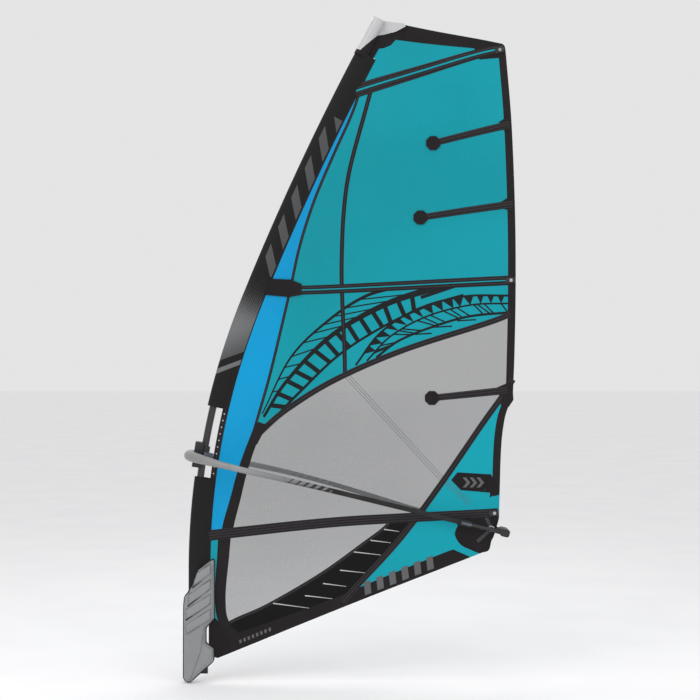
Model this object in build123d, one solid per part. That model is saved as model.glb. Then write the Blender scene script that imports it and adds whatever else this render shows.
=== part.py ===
from build123d import *
import math
import os

# Windsurf sail rig: mast, extension, battened sail with its tack fairing, and a wishbone boom.
# Millimetres. The origin is the mouth of the mast-foot socket, +Z goes up along the mast base,
# +X goes aft towards the clew, and Y goes across the sail.

# --- Driving dimensions -------------------------------------------------------------------
# Mast
mast_radius = 20.5
mast_wall = 3.5
mast_tip_radius = 13.0
mast_straight_top = 600.0
lower_bend_radius = 4190.0
lower_bend_angle = 22.0
upper_bend_radius = 15700.0
mast_joint_height = 1950.0
mast_top_height = 3775.0
mast_foot = 74.0

# Luff sleeve, measured square to the mast axis
sleeve_nose = 34.0
sleeve_half_width = 29.0
sleeve_seam = 88.0
sleeve_cloth = 1.6
sleeve_foot_height = 420.0
cutout_low = 1143.0
cutout_high = 1552.0
sleeve_top_height = 3590.0
edge_strip_width = 31.0

# Sail
cloth = 1.2
draft = 68.0
head_twist = 110.0
leech_corner = (1847.0, 1625.0)
leech_tape_width = 45.0
pocket_width = 54.0
pocket_thickness = 13.0
batten_width = 20.0
batten_thickness = 8.0
mini_pocket_width = 38.0
mini_knob_radius = 44.0

# Boom
boom_height = 1250.0
boom_slope = 13.7
boom_front_reach = 80.0
boom_tail_half_width = 50.0
boom_bow = 15.0
arm_radius = 14.2
arm_end = 1560.0
tail_tube_radius = 11.0
tail_body_start = 1768.0
tail_body_end = 1822.0

# Mast foot and tack
foot_pin_radius = 8.0
foot_pin_depth = 34.0
sheave_radius = 12.0
groove_radius = 9.6
axle_radius = 3.0
running_gap = 0.05
downhaul_radius = 2.0
outhaul_radius = 2.2


# --- Placing helpers ----------------------------------------------------------------------
def mast_axis(height):
    """X of the mast axis, and its lean from vertical in degrees, at a height."""
    if height <= mast_straight_top:
        return 0.0, 0.0
    bend_end = mast_straight_top + lower_bend_radius * math.sin(math.radians(lower_bend_angle))
    if height <= bend_end:
        lean = math.asin((height - mast_straight_top) / lower_bend_radius)
        return lower_bend_radius * (1 - math.cos(lean)), math.degrees(lean)
    start = math.radians(lower_bend_angle)
    lean = math.asin(math.sin(start) + (height - bend_end) / upper_bend_radius)
    x = lower_bend_radius * (1 - math.cos(start))
    x += upper_bend_radius * (math.cos(start) - math.cos(lean))
    return x, math.degrees(lean)


def beside_mast(height, offset):
    """The point (x, z) at an offset aft of the mast axis, square to it."""
    x, lean = mast_axis(height)
    return (x + offset * math.cos(math.radians(lean)), height - offset * math.sin(math.radians(lean)))


def mast_plane(height):
    """A plane square to the mast: its x goes aft and its normal goes up the mast."""
    x, lean = mast_axis(height)
    along = (math.sin(math.radians(lean)), 0, math.cos(math.radians(lean)))
    aft = (math.cos(math.radians(lean)), 0, -math.sin(math.radians(lean)))
    return Plane(origin=(x, 0, height), x_dir=aft, z_dir=along)


def mast_path(low, high, offset=0.0):
    """The mast's line between two heights, as a curve in space."""
    steps = max(2, round((high - low) / 260))
    heights = [low + (high - low) * i / steps for i in range(steps + 1)]
    flat = [beside_mast(height, offset) for height in heights]
    return Spline([(x, 0, z) for x, z in flat])


def leech_x(height):
    """X of the straightened trailing edge at a height."""
    return 1865.0 - 46.0 * ((height - 2450.0) / 1120.0) ** 2


def sail_side(x, z):
    """How far the sail cloth stands off the mast's plane, towards +Y."""
    seam_x = beside_mast(min(max(z, 0.0), 3700.0), sleeve_seam)[0]
    share = (x - seam_x) / (1850.0 - seam_x)
    share = min(max(share, 0.0), 1.0)
    fullness = math.sin(math.pi * min(max((z + 300.0) / 4700.0, 0.0), 1.0))
    belly = share**2 * (1 - share) ** 3 / (0.4**2 * 0.6**3)
    fall_off = max(z - 1500.0, 0.0) / 2200.0
    return draft * fullness * belly + head_twist * fall_off**2 * share**2


def cloth_layer(low, high):
    """A layer of the whole sail surface, from low to high beside its middle."""
    columns = 24
    rows = 26
    grid = []
    for i in range(columns):
        x = -120.0 + 2080.0 * i / (columns - 1)
        line = []
        for j in range(rows):
            z = -60.0 + 3950.0 * j / (rows - 1)
            line.append(Vector(x, sail_side(x, z) + low, z))
        grid.append(line)
    surface = Face.make_surface_from_array_of_points(grid, min_deg=3)
    return Solid.extrude(surface, Vector(0, high - low, 0))


def outline(*points):
    """A flat region of the mast's plane with straight sides."""
    return Plane.XZ * make_face(Polyline(*points, close=True))


def beyond(curve, far_start, far_end):
    """A flat region on one side of a curve, closed through two far points."""
    return Plane.XZ * make_face([curve, Line(curve @ 1, far_end), Line(far_end, far_start),
                                 Line(far_start, curve @ 0)])


def cut_cloth(region, layer):
    """The part of a cloth layer that lies behind a flat region."""
    return extrude(region, amount=400, both=True) & layer


def strip(curve_points, width, end_width=None):
    """A flat band about a line of points, which may narrow towards its end."""
    end_width = width if end_width is None else end_width
    last = len(curve_points) - 1
    upper = []
    lower = []
    for i, (x, z) in enumerate(curve_points):
        before = curve_points[max(i - 1, 0)]
        after = curve_points[min(i + 1, last)]
        run = math.hypot(after[0] - before[0], after[1] - before[1])
        half = (width + (end_width - width) * i / last) / 2
        across = (-(after[1] - before[1]) / run * half, (after[0] - before[0]) / run * half)
        upper.append((x + across[0], z + across[1]))
        lower.append((x - across[0], z - across[1]))
    top = Spline(upper) if last > 1 else Line(upper[0], upper[1])
    bottom = Spline(lower) if last > 1 else Line(lower[0], lower[1])
    return Plane.XZ * make_face([top, Line(upper[-1], lower[-1]), bottom, Line(lower[0], upper[0])])


def tapered_tube(path, radii, wall=0.0):
    """A round tube along a curve, with its radius at evenly spaced places."""
    def body(shrink):
        rings = []
        for i, radius in enumerate(radii):
            place = i / (len(radii) - 1)
            rings.append(Plane(origin=path @ place, z_dir=path % place) * Circle(radius - shrink))
        return loft(rings)
    if wall > 0:
        return body(0.0) - body(wall)
    return body(0.0)


def pin_along(axis_plane, radius, low, high):
    """A round pin along a plane's normal, from low to high."""
    return axis_plane.offset(low) * extrude(Circle(radius), amount=high - low)


boom_x, boom_lean = mast_axis(boom_height)
boom_along = (math.cos(math.radians(boom_slope)), 0, -math.sin(math.radians(boom_slope)))
boom_up = (math.sin(math.radians(boom_slope)), 0, math.cos(math.radians(boom_slope)))
boom_plane = Plane(origin=(boom_x, 0, boom_height), x_dir=boom_along, z_dir=boom_up)
head_plane = mast_plane(boom_height)


# --- Mast ---------------------------------------------------------------------------------
def mast_bottom():
    path = mast_path(mast_foot, mast_joint_height)
    return tapered_tube(path, [mast_radius] * 9, mast_wall)


def mast_top():
    path = mast_path(mast_joint_height, mast_top_height)
    radii = [mast_radius + (mast_tip_radius - mast_radius) * i / 7 for i in range(8)]
    return tapered_tube(path, radii, mast_wall)


def mast_ferrule():
    path = mast_path(mast_joint_height - 150, mast_joint_height + 130)
    return tapered_tube(path, [mast_radius - mast_wall - 1.2] * 3, 3.0)


# --- Mast extension -----------------------------------------------------------------------
tube_radius = mast_radius - mast_wall - 0.8


def extension_tube():
    tube = pin_along(Plane.XY, tube_radius, 40, 430) - pin_along(Plane.XY, 13.5, 60, 431)
    for i in range(6):
        tube -= Pos(0, 0, 150 + 40 * i) * Rot(90, 0, 0) * Cylinder(3.2, 80)
    return tube


def extension_collar():
    ring = fillet((Pos(0, 0, 64) * Cylinder(26, 18)).edges().filter_by(GeomType.CIRCLE), 3)
    return ring - Pos(0, 0, 64) * Cylinder(tube_radius, 40)


sheave_x = 58.0
base_sheave_z = 26.0
tack_sheave_z = 118.0
tack_sheave_y = 9.0
slot_half = 5.2
button_radius = 6.0
button_z = 20.0


def extension_base():
    cup = fillet((Pos(0, 0, 26) * Cylinder(30, 52)).edges().filter_by(GeomType.CIRCLE), 4)
    cheek = Pos(48, 0, 25) * Box(60, 28.8, 38)
    base = cup + fillet(cheek.edges().filter_by(Axis.Z), 5)
    base -= pin_along(Plane.XY, foot_pin_radius, -1, foot_pin_depth)
    base -= pin_along(Plane.XY, tube_radius, 40, 60)
    base -= Pos(sheave_x, 0, 36) * Box(31, 2 * slot_half, 49)
    base -= Pos(sheave_x, 0, base_sheave_z) * Rot(90, 0, 0) * Cylinder(axle_radius, 26)
    base -= Pos(-23, 0, button_z) * Rot(0, 90, 0) * Cylinder(button_radius + 0.1, 22)
    return base


def release_button():
    button = Pos(-27, 0, button_z) * Rot(0, 90, 0) * Cylinder(button_radius, 18)
    return fillet(button.edges().sort_by(Axis.X)[0], 1.5)


def sheave(line_radius):
    """A pulley wheel about Z with a flat-bottomed groove."""
    wheel = Cylinder(sheave_radius + 1, 2 * slot_half - 0.8)
    groove = Cylinder(sheave_radius + 2, 2 * line_radius + 3.2)
    groove -= Cylinder(groove_radius - 0.6, 2 * line_radius + 3.2)
    return wheel - groove - Cylinder(axle_radius + running_gap, 20)


def across_sheave(x, y, z):
    return Pos(x, y, z) * Rot(90, 0, 0) * sheave(downhaul_radius)


def tack_block():
    block = Pos(65, 0, 121) * Box(46, 36, 34)
    block = fillet(block.edges().filter_by(Axis.Y), 6)
    for side in (-1, 1):
        block -= Pos(sheave_x, side * tack_sheave_y, 115) * Box(29, 2 * slot_half, 35.4)
    return block - Pos(sheave_x, 0, tack_sheave_z) * Rot(90, 0, 0) * Cylinder(axle_radius, 34)


def sheave_axles():
    low = Pos(sheave_x, 0, base_sheave_z) * Rot(90, 0, 0) * Cylinder(axle_radius, 26)
    high = Pos(sheave_x, 0, tack_sheave_z) * Rot(90, 0, 0) * Cylinder(axle_radius, 34)
    return [low, high]


def downhaul_line():
    reach = groove_radius + downhaul_radius + 0.2
    front = sheave_x - reach
    back = sheave_x + reach
    top = tack_sheave_z + reach
    bottom = base_sheave_z - reach
    side = tack_sheave_y
    route = [(back, -side, 44), (back, -side, top), (front, -side, top), (front, 0, bottom),
             (back, 0, bottom), (back, side, top), (front, side, top), (front, side, 44)]
    path = FilletPolyline(*route, radius=reach - 0.1)
    return sweep(Plane(origin=path @ 0, z_dir=path % 0) * Circle(downhaul_radius), path)


# --- Sail regions, drawn flat in (x, z) ----------------------------------------------------
luff_heights = [600, 900, 1200, 1500, 1800, 2100, 2400, 2700, 3000, 3300, 3604]
luff_curve = Spline([beside_mast(height, sleeve_seam) for height in luff_heights])
head_front_low = beside_mast(3625, 39.0)
head_front_high = beside_mast(3795, 39.0)
clew_edge = [(1766, 905), (1757, 870), (1736, 800), (1722, 772), (1707, 719), (1665, 703)]
tack_edge = [(136, 93), (111, 99), (sleeve_seam, 112)]


def sail_region():
    leech = ThreePointArc((1816, 3612), (leech_x(2550), 2550), leech_corner)
    lower_leech = Spline(leech_corner, (1797, 1480), (1778, 1300), clew_edge[0])
    edges = [
        Line((sleeve_seam, 112), luff_curve @ 0),
        luff_curve,
        Polyline(luff_curve @ 1, head_front_low, head_front_high, (1230, 3764), (1796, 3674)),
        ThreePointArc((1796, 3674), (1811, 3655), (1816, 3612)),
        leech,
        lower_leech,
        Polyline(*clew_edge),
        Line(clew_edge[-1], tack_edge[0]),
        Polyline(*tack_edge),
    ]
    return Plane.XZ * make_face(edges)


whole_sail = sail_region()
foot_lean = math.atan2(703 - 93, 1665 - 136)

blue_seam = Spline([(1000, 3520), (922, 3271), (806, 3010), (696, 2749), (612, 2488), (554, 2227),
                    (493, 1966), (429, 1705), (354, 1444), (307, 1270), (252, 1096), (206, 922),
                    (188, 600), (172, 400), (180, 200)])
middle_seam = Spline([(1044, 3460), (992, 3271), (899, 2923), (864, 2662), (853, 2360), (858, 2140),
                      (872, 1780), (870, 1400), (869, 1200)])
window_top = Spline([(300, 1330), (380, 1400), (531, 1531), (815, 1705), (1215, 1879),
                     (1749, 2053), (1900, 2130)])
window_foot = Spline([(130, 250), (235, 313), (432, 400), (734, 574), (977, 748), (1110, 850),
                      (1180, 940), (1300, 1070)])
diagonal_seam = Spline([(1880, 1760), (1789, 1618), (1665, 1444), (1427, 1096), (1190, 777),
                        (931, 493), (860, 410)])
head_batten_line = [(930, 3378), (1280, 3494), (1640, 3606), (1860, 3660)]
middle_batten_line = [(380, 2229), (623, 2227), (1160, 2252), (1694, 2277), (1900, 2287)]
lower_batten_line = [(40, 796), (216, 818), (786, 873), (1180, 900), (1800, 938), (2100, 956)]
mini_batten_lines = [
    [(1387, 3086), (1789, 3188)],
    [(1313, 2652), (1799, 2722)],
    [(1378, 1600), (1764, 1641)],
]
far = 5000.0

above_head_batten = beyond(Spline(head_batten_line), (930, far), (1860, far))
above_middle_batten = beyond(Spline(middle_batten_line), (380, far), (1900, far))
above_lower_batten = beyond(Spline(lower_batten_line), (40, far), (2100, far))
above_window_top = beyond(window_top, (300, far), (1900, far))
below_window_foot = beyond(window_foot, (130, -far), (1300, -far))
ahead_of_blue_seam = beyond(blue_seam, (-far, 3520), (-far, 200))
ahead_of_middle_seam = beyond(middle_seam, (-far, 3460), (-far, 1200))
behind_diagonal = beyond(diagonal_seam, (far, 1760), (far, 410))

batten_lines = {"head": head_batten_line, "middle": middle_batten_line, "lower": lower_batten_line}
batten_ends = {"head": (1779, 3636), "middle": (1836, 2284), "lower": (1739, 934)}
screw_radius = 9.0
screw_height = 4.0


def end_region(name):
    x, z = batten_ends[name]
    before, after = batten_lines[name][-2:]
    slope = math.atan2(after[1] - before[1], after[0] - before[0])
    step = (30 * math.cos(slope), 30 * math.sin(slope))
    return strip([(x - step[0], z - step[1]), (x + step[0] * 0.8, z + step[1] * 0.8)], 32)


end_regions = {name: end_region(name) for name in batten_lines}
pocket_regions = {
    name: (strip(line, pocket_width + 4, pocket_width - 8) & whole_sail) - end_regions[name]
    for name, line in batten_lines.items()
}
patch_region = outline((1085, 3790), (1128, 3782), (1215, 3772), (1225, 3755), (1169, 3725), (1096, 3706),
                       (1050, 3700))

clew_ring_place = (1722.0, 843.0)
clew_ring_radius = 14.0
clew_ring_wire = 4.0
clew_patch_region = Plane.XZ * make_face(
    Polyline((1528, 861), (1511, 824), (1515, 791), (1548, 746), (1604, 719), (1665, 640), (1900, 700),
             (1900, 925), (1650, 925), (1528, 895), close=True))
tack_patch_region = outline((40, 330), (117, 330), (183, 248), (206, 186), (230, 120), (230, 40), (40, 40))


def shifted(region, distance, direction):
    return Pos(distance * math.cos(direction), 0, distance * math.sin(direction)) * region


def sail_regions():
    """Every flat panel of the sail, by node name. Neighbours share their seam."""
    tape_zone = outline((1600, 1050), (2000, 1050), (2000, 3640), (1600, 3640))
    tape = (whole_sail - shifted(whole_sail, leech_tape_width, math.pi)) & tape_zone
    foot_zone = outline((100, -100), (1800, -100), (1800, 640), (1640, 728), (1480, 760), (230, 330))
    band = (whole_sail - shifted(whole_sail, 80, foot_lean + math.pi / 2)) & foot_zone
    ring_hole = Plane.XZ * Pos(*clew_ring_place) * Circle(clew_ring_radius + clew_ring_wire + 0.2)
    cloth_left = whole_sail - patch_region
    for name in batten_lines:
        cloth_left = cloth_left - pocket_regions[name] - end_regions[name]
    regions = {
        "clew_patch": (cloth_left & clew_patch_region) - ring_hole,
        "tack_patch": cloth_left & tack_patch_region,
    }
    cloth_left = cloth_left - clew_patch_region - tack_patch_region
    regions["leech_tape"] = cloth_left & tape
    regions["foot_band"] = cloth_left & band
    cloth_left = cloth_left - tape - band
    regions["head_panel"] = cloth_left & above_head_batten
    upper = (cloth_left & above_middle_batten) - above_head_batten
    middle = (cloth_left & above_lower_batten) - above_middle_batten - above_head_batten
    lower = cloth_left - above_lower_batten - above_head_batten
    regions["luff_panel_upper"] = upper & ahead_of_blue_seam
    regions["upper_front_panel"] = (upper & ahead_of_middle_seam) - ahead_of_blue_seam
    regions["upper_rear_panel"] = upper - ahead_of_middle_seam - ahead_of_blue_seam
    regions["luff_panel_lower"] = middle & ahead_of_blue_seam
    middle = middle - ahead_of_blue_seam
    regions["middle_front_panel"] = middle & above_window_top & ahead_of_middle_seam
    regions["middle_rear_panel"] = (middle & above_window_top) - ahead_of_middle_seam
    regions["clew_panel_upper"] = (middle & behind_diagonal) - above_window_top
    regions["window_upper"] = middle - above_window_top - behind_diagonal
    regions["luff_panel_foot"] = lower & ahead_of_blue_seam
    lower = lower - ahead_of_blue_seam
    regions["clew_panel_lower"] = lower & behind_diagonal
    lower = lower - behind_diagonal
    regions["foot_panel"] = lower & below_window_foot
    regions["window_lower"] = lower - below_window_foot
    return regions


# --- Sleeve and head cap -------------------------------------------------------------------
def sleeve_profile(inset, seam_half):
    nose = EllipticalCenterArc((0, 0), sleeve_nose - inset, sleeve_half_width - inset, 90, arc_size=180)
    seam = sleeve_seam - 0.6 - inset * 3
    top = Spline((seam, seam_half), (0, sleeve_half_width - inset), tangents=[(-1, 0.3), (-1, 0)])
    bottom = Spline((0, inset - sleeve_half_width), (seam, -seam_half), tangents=[(1, 0), (1, 0.3)])
    return make_face([top, nose, bottom, Line((seam, -seam_half), (seam, seam_half))])


def sleeve_tube(low, high):
    path = mast_path(low, high)
    start = mast_plane(low)
    outside = sweep(start * sleeve_profile(0.0, 0.8), path)
    inside = sweep(start * sleeve_profile(sleeve_cloth, 0.3), path)
    return outside - inside


def luff_sleeve_lower(layer):
    """The sleeve below the boom cut-out, with the hem that joins it to the upper sleeve."""
    heights = [cutout_low - 40, 1250, 1350, 1450, cutout_high + 40]
    inner = Spline([beside_mast(height, sleeve_seam - edge_strip_width) for height in heights])
    outer = Spline([beside_mast(height, sleeve_seam) for height in reversed(heights)])
    hem = Plane.XZ * make_face([inner, Line(inner @ 1, outer @ 0), outer, Line(outer @ 1, inner @ 0)])
    hem_solid = cut_cloth(hem, layer)
    tube = sleeve_tube(sleeve_foot_height, cutout_low)
    upper_end = mast_plane(cutout_high) * Pos(0, 0, 200) * Box(400, 400, 400)
    lower_end = mast_plane(cutout_low - 25) * Pos(0, 0, -200) * Box(400, 400, 400)
    return tube + (hem_solid - upper_end - lower_end)


def head_cap():
    low = mast_plane(3605)
    cap = pin_along(low, 37.5, 0, 214) - pin_along(low, 34.0, -1, 210)
    return cap + (extrude(patch_region, amount=2, both=True) - pin_along(low, 36.0, -1, 215))


# --- Battens -------------------------------------------------------------------------------
def batten_pocket(name, skin, hollow):
    line = batten_lines[name]
    tunnel = strip(line, batten_width + 2)
    return cut_cloth(pocket_regions[name], skin) - cut_cloth(tunnel, hollow)


def batten(name, layer):
    line = batten_lines[name]
    x, z = batten_ends[name]
    beyond_end = outline((x, z - 200), (x + 500, z - 200), (x + 500, z + 200), (x, z + 200))
    rod = (strip(line, batten_width) & whole_sail) - end_regions[name] - beyond_end
    return cut_cloth(rod, layer)


def screw_place(name):
    """The inner end of a tension screw's head, with its axis out of the port side."""
    x, z = batten_ends[name]
    return Pos(x, sail_side(x, z) - 9.0, z) * Rot(90, 0, 0)


def batten_screw(name):
    head = screw_place(name) * Pos(0, 0, screw_height / 2) * Cylinder(screw_radius, screw_height)
    socket = screw_place(name) * Pos(0, 0, screw_height) * extrude(RegularPolygon(3.2, 6), 5, both=True)
    return head - socket


def screw_seat(name):
    """The space that a screw's head takes in its fitting, open to the port side."""
    seat_height = screw_height + 8
    return screw_place(name) * Pos(0, 0, seat_height / 2) * Cylinder(screw_radius + 0.15, seat_height)


def mini_outline(line, width, knob):
    bar = strip(line, width)
    if knob:
        x, z = line[0]
        bar += Plane.XZ * Pos(x, z) * RegularPolygon(mini_knob_radius, 8, rotation=22.5)
    return bar


# --- Tack fairing --------------------------------------------------------------------------
fairing_half = 42.0
fairing_wall = 4.5
fairing_side = [(116, 672), (20, 611), (5, 582), (-9, 541), (-33, 474), (-56, 452), (-60, 400),
                (-62, -24), (-44, -46), (-20, -40), (111, 78), (111, 148), (66, 182), (66, 270),
                (116, 325)]
fairing_inside = [(140, 700), (20, 640), (-60, 560), (-60, 468), (-52, 440), (-57.5, 400), (-57.5, 30),
                  (-57.5, -8), (-30, -60), (40, -60), (140, 60)]
rib_outlines = [
    [(90, 640), (90, 588), (-12, 514), (16, 596)],
    [(90, 553), (88, 498), (-30, 409), (-34, 466)],
    [(90, 469), (87, 411), (-40, 325), (-47, 380)],
    [(90, 384), (89, 325), (-41, 237), (-50, 290)],
]
rib_height = 5.0


def tack_fairing():
    body = extrude(outline(*fairing_side), amount=fairing_half, both=True)
    front = body.edges().filter_by(lambda edge: abs(edge.center().X + 61) < 3 and edge.length > 300)
    body = fillet(front, 10)
    hollow = extrude(outline(*fairing_inside), amount=fairing_half - fairing_wall, both=True)
    return body - hollow


def fairing_ribs():
    ribs = []
    for points in rib_outlines:
        pad = extrude(outline(*points), amount=rib_height)
        pad = fillet(pad.edges().filter_by(Axis.Y), 8)
        ribs.append(Pos(0, -fairing_half, 0) * pad)
        ribs.append(Pos(0, fairing_half + rib_height, 0) * pad)
    return ribs


# --- Clew ----------------------------------------------------------------------------------
def clew_ring():
    x, z = clew_ring_place
    return Pos(x, 0, z) * Rot(90, 0, 0) * Torus(clew_ring_radius, clew_ring_wire)


def clew_webbing(outer_layers):
    x, z = clew_ring_place
    keep_off = Plane.XZ * Pos(x, z) * Circle(clew_ring_radius + clew_ring_wire + 0.6)
    ends = [(1690, 912), (1655, 848), (1640, 768)]
    straps = []
    for end in ends:
        band = strip([(x, z), end], 20) - keep_off - pocket_regions["lower"] - end_regions["lower"]
        straps += [cut_cloth(band, layer) for layer in outer_layers]
    return straps


# --- Boom ----------------------------------------------------------------------------------
front_half = [(-boom_front_reach, 0, 0), (-44, 86, 2), (60, 168, 6), (190, 222, 10)]
arm_line = [(190, 222, 10), (400, 250, boom_bow), (740, 212, boom_bow), (980, 145, 9), (1160, 84, 3),
            (1330, boom_tail_half_width, 0)]
arm_straight = 1330.0


def boom_place(point, side):
    along, across, lift = point
    return boom_plane.from_local_coords(Vector(along, side * across, lift))


def boom_direction(side, along, across, lift=0.0):
    start = boom_plane.from_local_coords(Vector(0, 0, 0))
    return boom_plane.from_local_coords(Vector(along, side * across, lift)) - start


def front_path(side):
    points = [boom_place(point, side) for point in front_half]
    tangents = [boom_direction(side, 0, 1), boom_direction(side, 1, 0.28, 0.02)]
    return Spline(points, tangents=tangents)


def arm_path(side):
    points = [boom_place(point, side) for point in arm_line]
    tangents = [boom_direction(side, 1, 0.28, 0.02), boom_direction(side, 1, 0)]
    return Spline(points, tangents=tangents)


def boom_front_loop(wall):
    radii = [31, 30, 27, 23, 20, 17.5]
    return tapered_tube(front_path(-1), radii, wall) + tapered_tube(front_path(1), radii, wall)


def tail_axis(side):
    """A plane at the mast's distance zero, square to one tail tube."""
    origin = boom_place((0, boom_tail_half_width, 0), side)
    return Plane(origin=origin, x_dir=boom_up, z_dir=boom_along)


def boom_arm(side):
    radii = [17.5, 16.2, 15.0, 14.4, arm_radius, arm_radius, arm_radius, arm_radius]
    curved = tapered_tube(arm_path(side), radii, 2.0)
    rear = pin_along(tail_axis(side), arm_radius, arm_straight, arm_end)
    rear -= pin_along(tail_axis(side), tail_tube_radius + running_gap, arm_straight - 1, arm_end + 1)
    return curved + rear


def tail_tube(side):
    start = arm_straight + 12
    tube = pin_along(tail_axis(side), tail_tube_radius, start, tail_body_start)
    return tube - pin_along(tail_axis(side), tail_tube_radius - 1.8, start - 1, tail_body_start - 20)


clip_start = 1528.0
clip_end = 1596.0
clip_radius = 18.5
clip_pin_along = 1540.0
clip_pin_across = 74.5
clip_pin_radius = 2.0


def clip_pin_plane(side):
    return Plane(origin=boom_place((clip_pin_along, clip_pin_across, 0), side), x_dir=boom_along,
                 z_dir=boom_up)


def tail_clip(side):
    axis = tail_axis(side)
    shell = pin_along(axis, clip_radius, clip_start, clip_end)
    shell = fillet(shell.edges().filter_by(GeomType.CIRCLE), 3)
    for low in (-11.0, 6.3):
        ear = clip_pin_plane(side) * Pos(0, -side * 5.5, low + 2.35) * Box(16, 19, 4.7)
        shell += ear
    shell -= pin_along(axis, arm_radius, clip_start - 1, arm_end)
    shell -= pin_along(axis, tail_tube_radius + running_gap, arm_end - 1, clip_end + 1)
    return shell - pin_along(clip_pin_plane(side), clip_pin_radius, -12, 12)


def clip_lever(side):
    place = clip_pin_plane(side)
    knuckle = pin_along(place, 4.0, -6, 6)
    plate = place * Pos(29, side * 0.5, 0) * Box(54, 4, 12)
    lever = knuckle + fillet(plate.edges().filter_by(lambda edge: edge.length < 4.1), 1.2)
    return lever - pin_along(place, clip_pin_radius + running_gap, -12, 12)


head_low = -54.0
head_high = 92.0
hinge_height = 26.0
jaw_pin = (4.0, 38.0)
lever_pin = (8.0, -41.0)
head_pin_radius = 2.5
knuckle_radius = 6.0


def in_head(x, y, z):
    return head_plane * Pos(x, y, z)


def head_hinge_plane(place):
    return Plane(origin=head_plane.from_local_coords(Vector(place[0], place[1], hinge_height)),
                 x_dir=head_plane.x_dir, z_dir=head_plane.z_dir)


def boom_head(front_loop):
    middle = (head_low + head_high) / 2
    block = in_head(-29, 0, middle) * Box(54, 74, head_high - head_low)
    upright = block.edges().filter_by(lambda edge: edge.length > 140)
    block = fillet(upright, 9)
    for place in (jaw_pin, lever_pin):
        side = math.copysign(1, place[1])
        for low in (4.0, 42.4):
            ear = in_head(place[0], place[1], low + 2.8) * Cylinder(knuckle_radius, 5.6)
            bridge = in_head((place[0] - 10) / 2 - 3, side * 36.5, low + 2.8)
            ear += bridge * Box(place[0] + 10, 7, 5.6)
            block += ear
    block -= in_head(0, 0, middle) * Cylinder(24.0, 200)
    for place in (jaw_pin, lever_pin):
        block -= pin_along(head_hinge_plane(place), head_pin_radius, -30, 30)
    return block - front_loop


def head_liner():
    middle = (head_low + head_high) / 2
    ring = in_head(0, 0, middle) * Cylinder(23.9, head_high - head_low - 6)
    ring -= in_head(0, 0, middle) * Cylinder(mast_radius + 0.3, 200)
    return ring - in_head(48, 0, middle) * Box(100, 100, 200)


def head_jaw():
    ring = in_head(0, 0, hinge_height) * Cylinder(30.5, 96)
    ring -= in_head(0, 0, hinge_height) * Cylinder(21.4, 120)
    ring -= in_head(-48.6, 0, hinge_height) * Box(100, 100, 120)
    knuckle = pin_along(head_hinge_plane(jaw_pin), knuckle_radius, -16, 16)
    bridge = in_head(6, 31.5, hinge_height) * Box(8, 9, 32)
    jaw = ring + knuckle + bridge
    return jaw - pin_along(head_hinge_plane(jaw_pin), head_pin_radius + running_gap, -30, 30)


def head_lever():
    knuckle = pin_along(head_hinge_plane(lever_pin), knuckle_radius, -16, 16)
    plate = in_head(lever_pin[0] + 24, lever_pin[1] - 2, hinge_height) * Box(48, 6, 30)
    plate = fillet(plate.edges().filter_by(lambda edge: edge.length < 6.1), 2.5)
    lever = knuckle + plate
    return lever - pin_along(head_hinge_plane(lever_pin), head_pin_radius + running_gap, -30, 30)


def boom_pins():
    pins = [pin_along(head_hinge_plane(place), head_pin_radius, -22, 22) for place in (jaw_pin, lever_pin)]
    pins += [pin_along(clip_pin_plane(side), clip_pin_radius, -11, 11) for side in (-1, 1)]
    return pins


tail_sheave_along = 1796.0
line_side = 6.5
tail_sheave_across = line_side + groove_radius + outhaul_radius + 0.2
cleat_end = 1758.0


def tail_sheave_plane(side):
    return Plane(origin=boom_place((tail_sheave_along, tail_sheave_across, 0), side), x_dir=boom_along,
                 z_dir=boom_up)


def tail_body():
    middle = (tail_body_start + tail_body_end) / 2
    width = 2 * (boom_tail_half_width + 14)
    block = boom_plane * Pos(middle, 0, 0) * Box(tail_body_end - tail_body_start, width, 44)
    block = fillet(block.edges().filter_by(lambda edge: edge.length > width - 1), 14)
    for side in (-1, 1):
        collar = pin_along(tail_axis(side), 14.5, 1738, tail_body_start + 1)
        jaw_block = boom_plane * Pos((1744 + cleat_end) / 2, side * 31, 0) * Box(cleat_end - 1744, 16, 12)
        block += collar + jaw_block
        block -= pin_along(tail_axis(side), tail_tube_radius, 1730, tail_body_start)
    for side in (-1, 1):
        slot = tail_sheave_plane(side) * Pos(-13, 0, 0) * Box(58, 31, 2 * slot_half)
        block -= slot
        block -= pin_along(tail_sheave_plane(side), axle_radius, -17, 17)
    return block


def tail_axles():
    return [pin_along(tail_sheave_plane(side), axle_radius, -17, 17) for side in (-1, 1)]


def outhaul_line():
    reach = groove_radius + outhaul_radius + 0.2
    outside = tail_sheave_across + reach
    back = tail_sheave_along + reach
    turn = 1722.0
    route = [(cleat_end, outside), (back, outside), (back, line_side), (turn, line_side),
             (turn, -line_side), (back, -line_side), (back, -outside), (cleat_end, -outside)]
    bends = [reach - 0.1, reach - 0.1, line_side - 0.2, line_side - 0.2, reach - 0.1, reach - 0.1]
    places = [boom_place((along, across, 0), 1) for along, across in route]
    path = FilletPolyline(*places, radius=bends)
    return sweep(Plane(origin=path @ 0, z_dir=path % 0) * Circle(outhaul_radius), path)


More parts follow.
